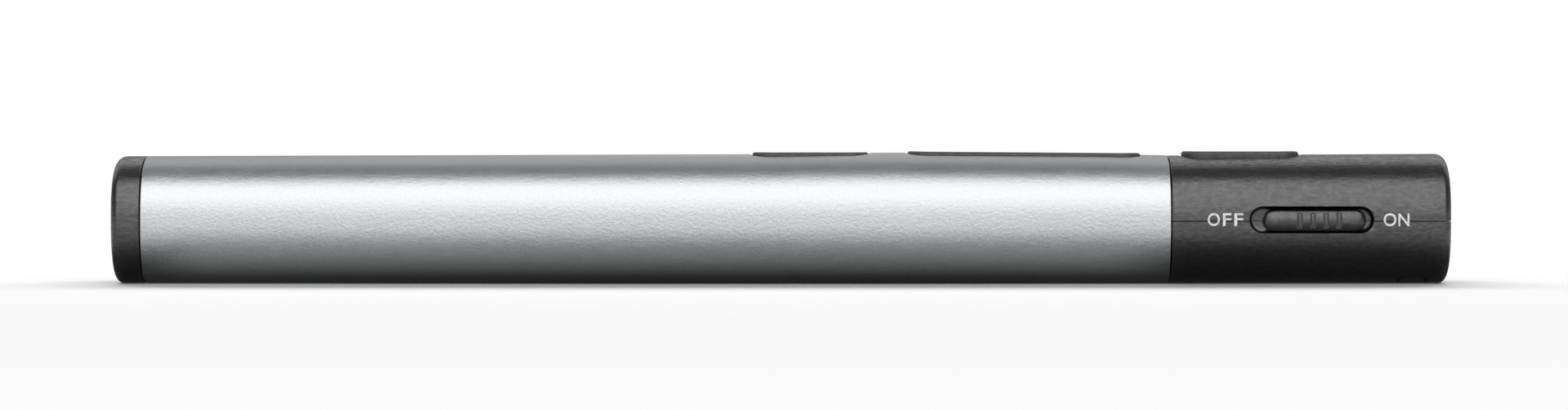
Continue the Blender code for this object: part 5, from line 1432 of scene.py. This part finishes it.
class PRESENTER_OT_housing(bpy.types.Operator):
    """Build both halves of the front housing and the plugs under it"""

    bl_idname = "presenter.housing"
    bl_label = "Front housing"
    bl_options = UNDOABLE

    def execute(self, context):
        build_housing(context.scene.presenter_shape, True)
        build_housing(context.scene.presenter_shape, False)
        build_plugs()
        return {"FINISHED"}


class PRESENTER_OT_keys(bpy.types.Operator):
    """Build the three keys on the back"""

    bl_idname = "presenter.keys"
    bl_label = "Keys"
    bl_options = UNDOABLE

    def execute(self, context):
        for name in KEYS:
            build_key(context.scene.presenter_shape, name)
        return {"FINISHED"}


class PRESENTER_OT_knob(bpy.types.Operator):
    """Build the slide knob with its ribs"""

    bl_idname = "presenter.knob"
    bl_label = "Slide knob"
    bl_options = UNDOABLE

    def execute(self, context):
        build_knob(context.scene.presenter_shape)
        return {"FINISHED"}


class PRESENTER_OT_lettering(bpy.types.Operator):
    """Print the two words beside the switch"""

    bl_idname = "presenter.lettering"
    bl_label = "Lettering"
    bl_options = UNDOABLE

    def execute(self, context):
        for name in WORDS:
            build_word(context.scene.presenter_shape, name)
        return {"FINISHED"}


class PRESENTER_OT_receiver(bpy.types.Operator):
    """Build the docked receiver: body, plug, tongue and contacts"""

    bl_idname = "presenter.receiver"
    bl_label = "Receiver"
    bl_options = UNDOABLE

    def execute(self, context):
        build_receiver_body()
        build_receiver_plug()
        build_receiver_tongue()
        return {"FINISHED"}


class PRESENTER_OT_power(bpy.types.Operator):
    """Build the cell, its spring and its contact plates"""

    bl_idname = "presenter.power"
    bl_label = "Cell and contacts"
    bl_options = UNDOABLE

    def execute(self, context):
        build_cell()
        build_spring()
        build_contact_plates()
        return {"FINISHED"}


class PRESENTER_OT_laser(bpy.types.Operator):
    """Build the laser's window, ring, lens and barrel"""

    bl_idname = "presenter.laser"
    bl_label = "Laser"
    bl_options = UNDOABLE

    def execute(self, context):
        build_laser()
        return {"FINISHED"}


class PRESENTER_OT_inner_parts(bpy.types.Operator):
    """Ease the edges of the strip and the chips inside"""

    bl_idname = "presenter.inner_parts"
    bl_label = "Inner parts"
    bl_options = UNDOABLE

    def execute(self, context):
        build_inner_parts()
        return {"FINISHED"}


class PRESENTER_OT_stage(bpy.types.Operator):
    """Make the floor, the lamps and the camera"""

    bl_idname = "presenter.stage"
    bl_label = "Stage"
    bl_options = UNDOABLE

    def execute(self, context):
        stage = context.scene.presenter_stage
        build_lights(stage, build_floor())
        build_camera(stage)
        return {"FINISHED"}


OPERATORS = (
    PRESENTER_OT_finishes,
    PRESENTER_OT_tube,
    PRESENTER_OT_cap,
    PRESENTER_OT_housing,
    PRESENTER_OT_keys,
    PRESENTER_OT_knob,
    PRESENTER_OT_lettering,
    PRESENTER_OT_receiver,
    PRESENTER_OT_power,
    PRESENTER_OT_laser,
    PRESENTER_OT_inner_parts,
    PRESENTER_OT_stage,
)
GROUPS = {
    "presenter_shape": PresenterShape,
    "presenter_finish": PresenterFinish,
    "presenter_stage": PresenterStage,
}


class PRESENTER_PT_sidebar(bpy.types.Panel):
    """Lists the sizes, the finishes and the steps"""

    bl_idname = "PRESENTER_PT_sidebar"
    bl_label = "Presenter"
    bl_space_type = "VIEW_3D"
    bl_region_type = "UI"
    bl_category = "Presenter"

    def draw(self, context):
        for name, group in GROUPS.items():
            box = self.layout.box()
            box.label(text=group.__doc__)
            for field in group.__annotations__:
                box.prop(getattr(context.scene, name), field)
        column = self.layout.column(align=True)
        for step in OPERATORS:
            column.operator(step.bl_idname)


CLASSES = (*GROUPS.values(), *OPERATORS, PRESENTER_PT_sidebar)


def register():
    for made in CLASSES:
        bpy.utils.register_class(made)
    for name, group in GROUPS.items():
        setattr(bpy.types.Scene, name, bpy.props.PointerProperty(type=group))


def unregister():
    for name in GROUPS:
        delattr(bpy.types.Scene, name)
    for made in reversed(CLASSES):
        bpy.utils.unregister_class(made)


def main():
    register()
    bpy.ops.presenter.finishes()
    bpy.ops.presenter.tube()
    bpy.ops.presenter.cap()
    bpy.ops.presenter.housing()
    bpy.ops.presenter.keys()
    bpy.ops.presenter.knob()
    bpy.ops.presenter.lettering()
    bpy.ops.presenter.receiver()
    bpy.ops.presenter.power()
    bpy.ops.presenter.laser()
    bpy.ops.presenter.inner_parts()
    bpy.ops.presenter.stage()


if __name__ == "__main__":
    main()
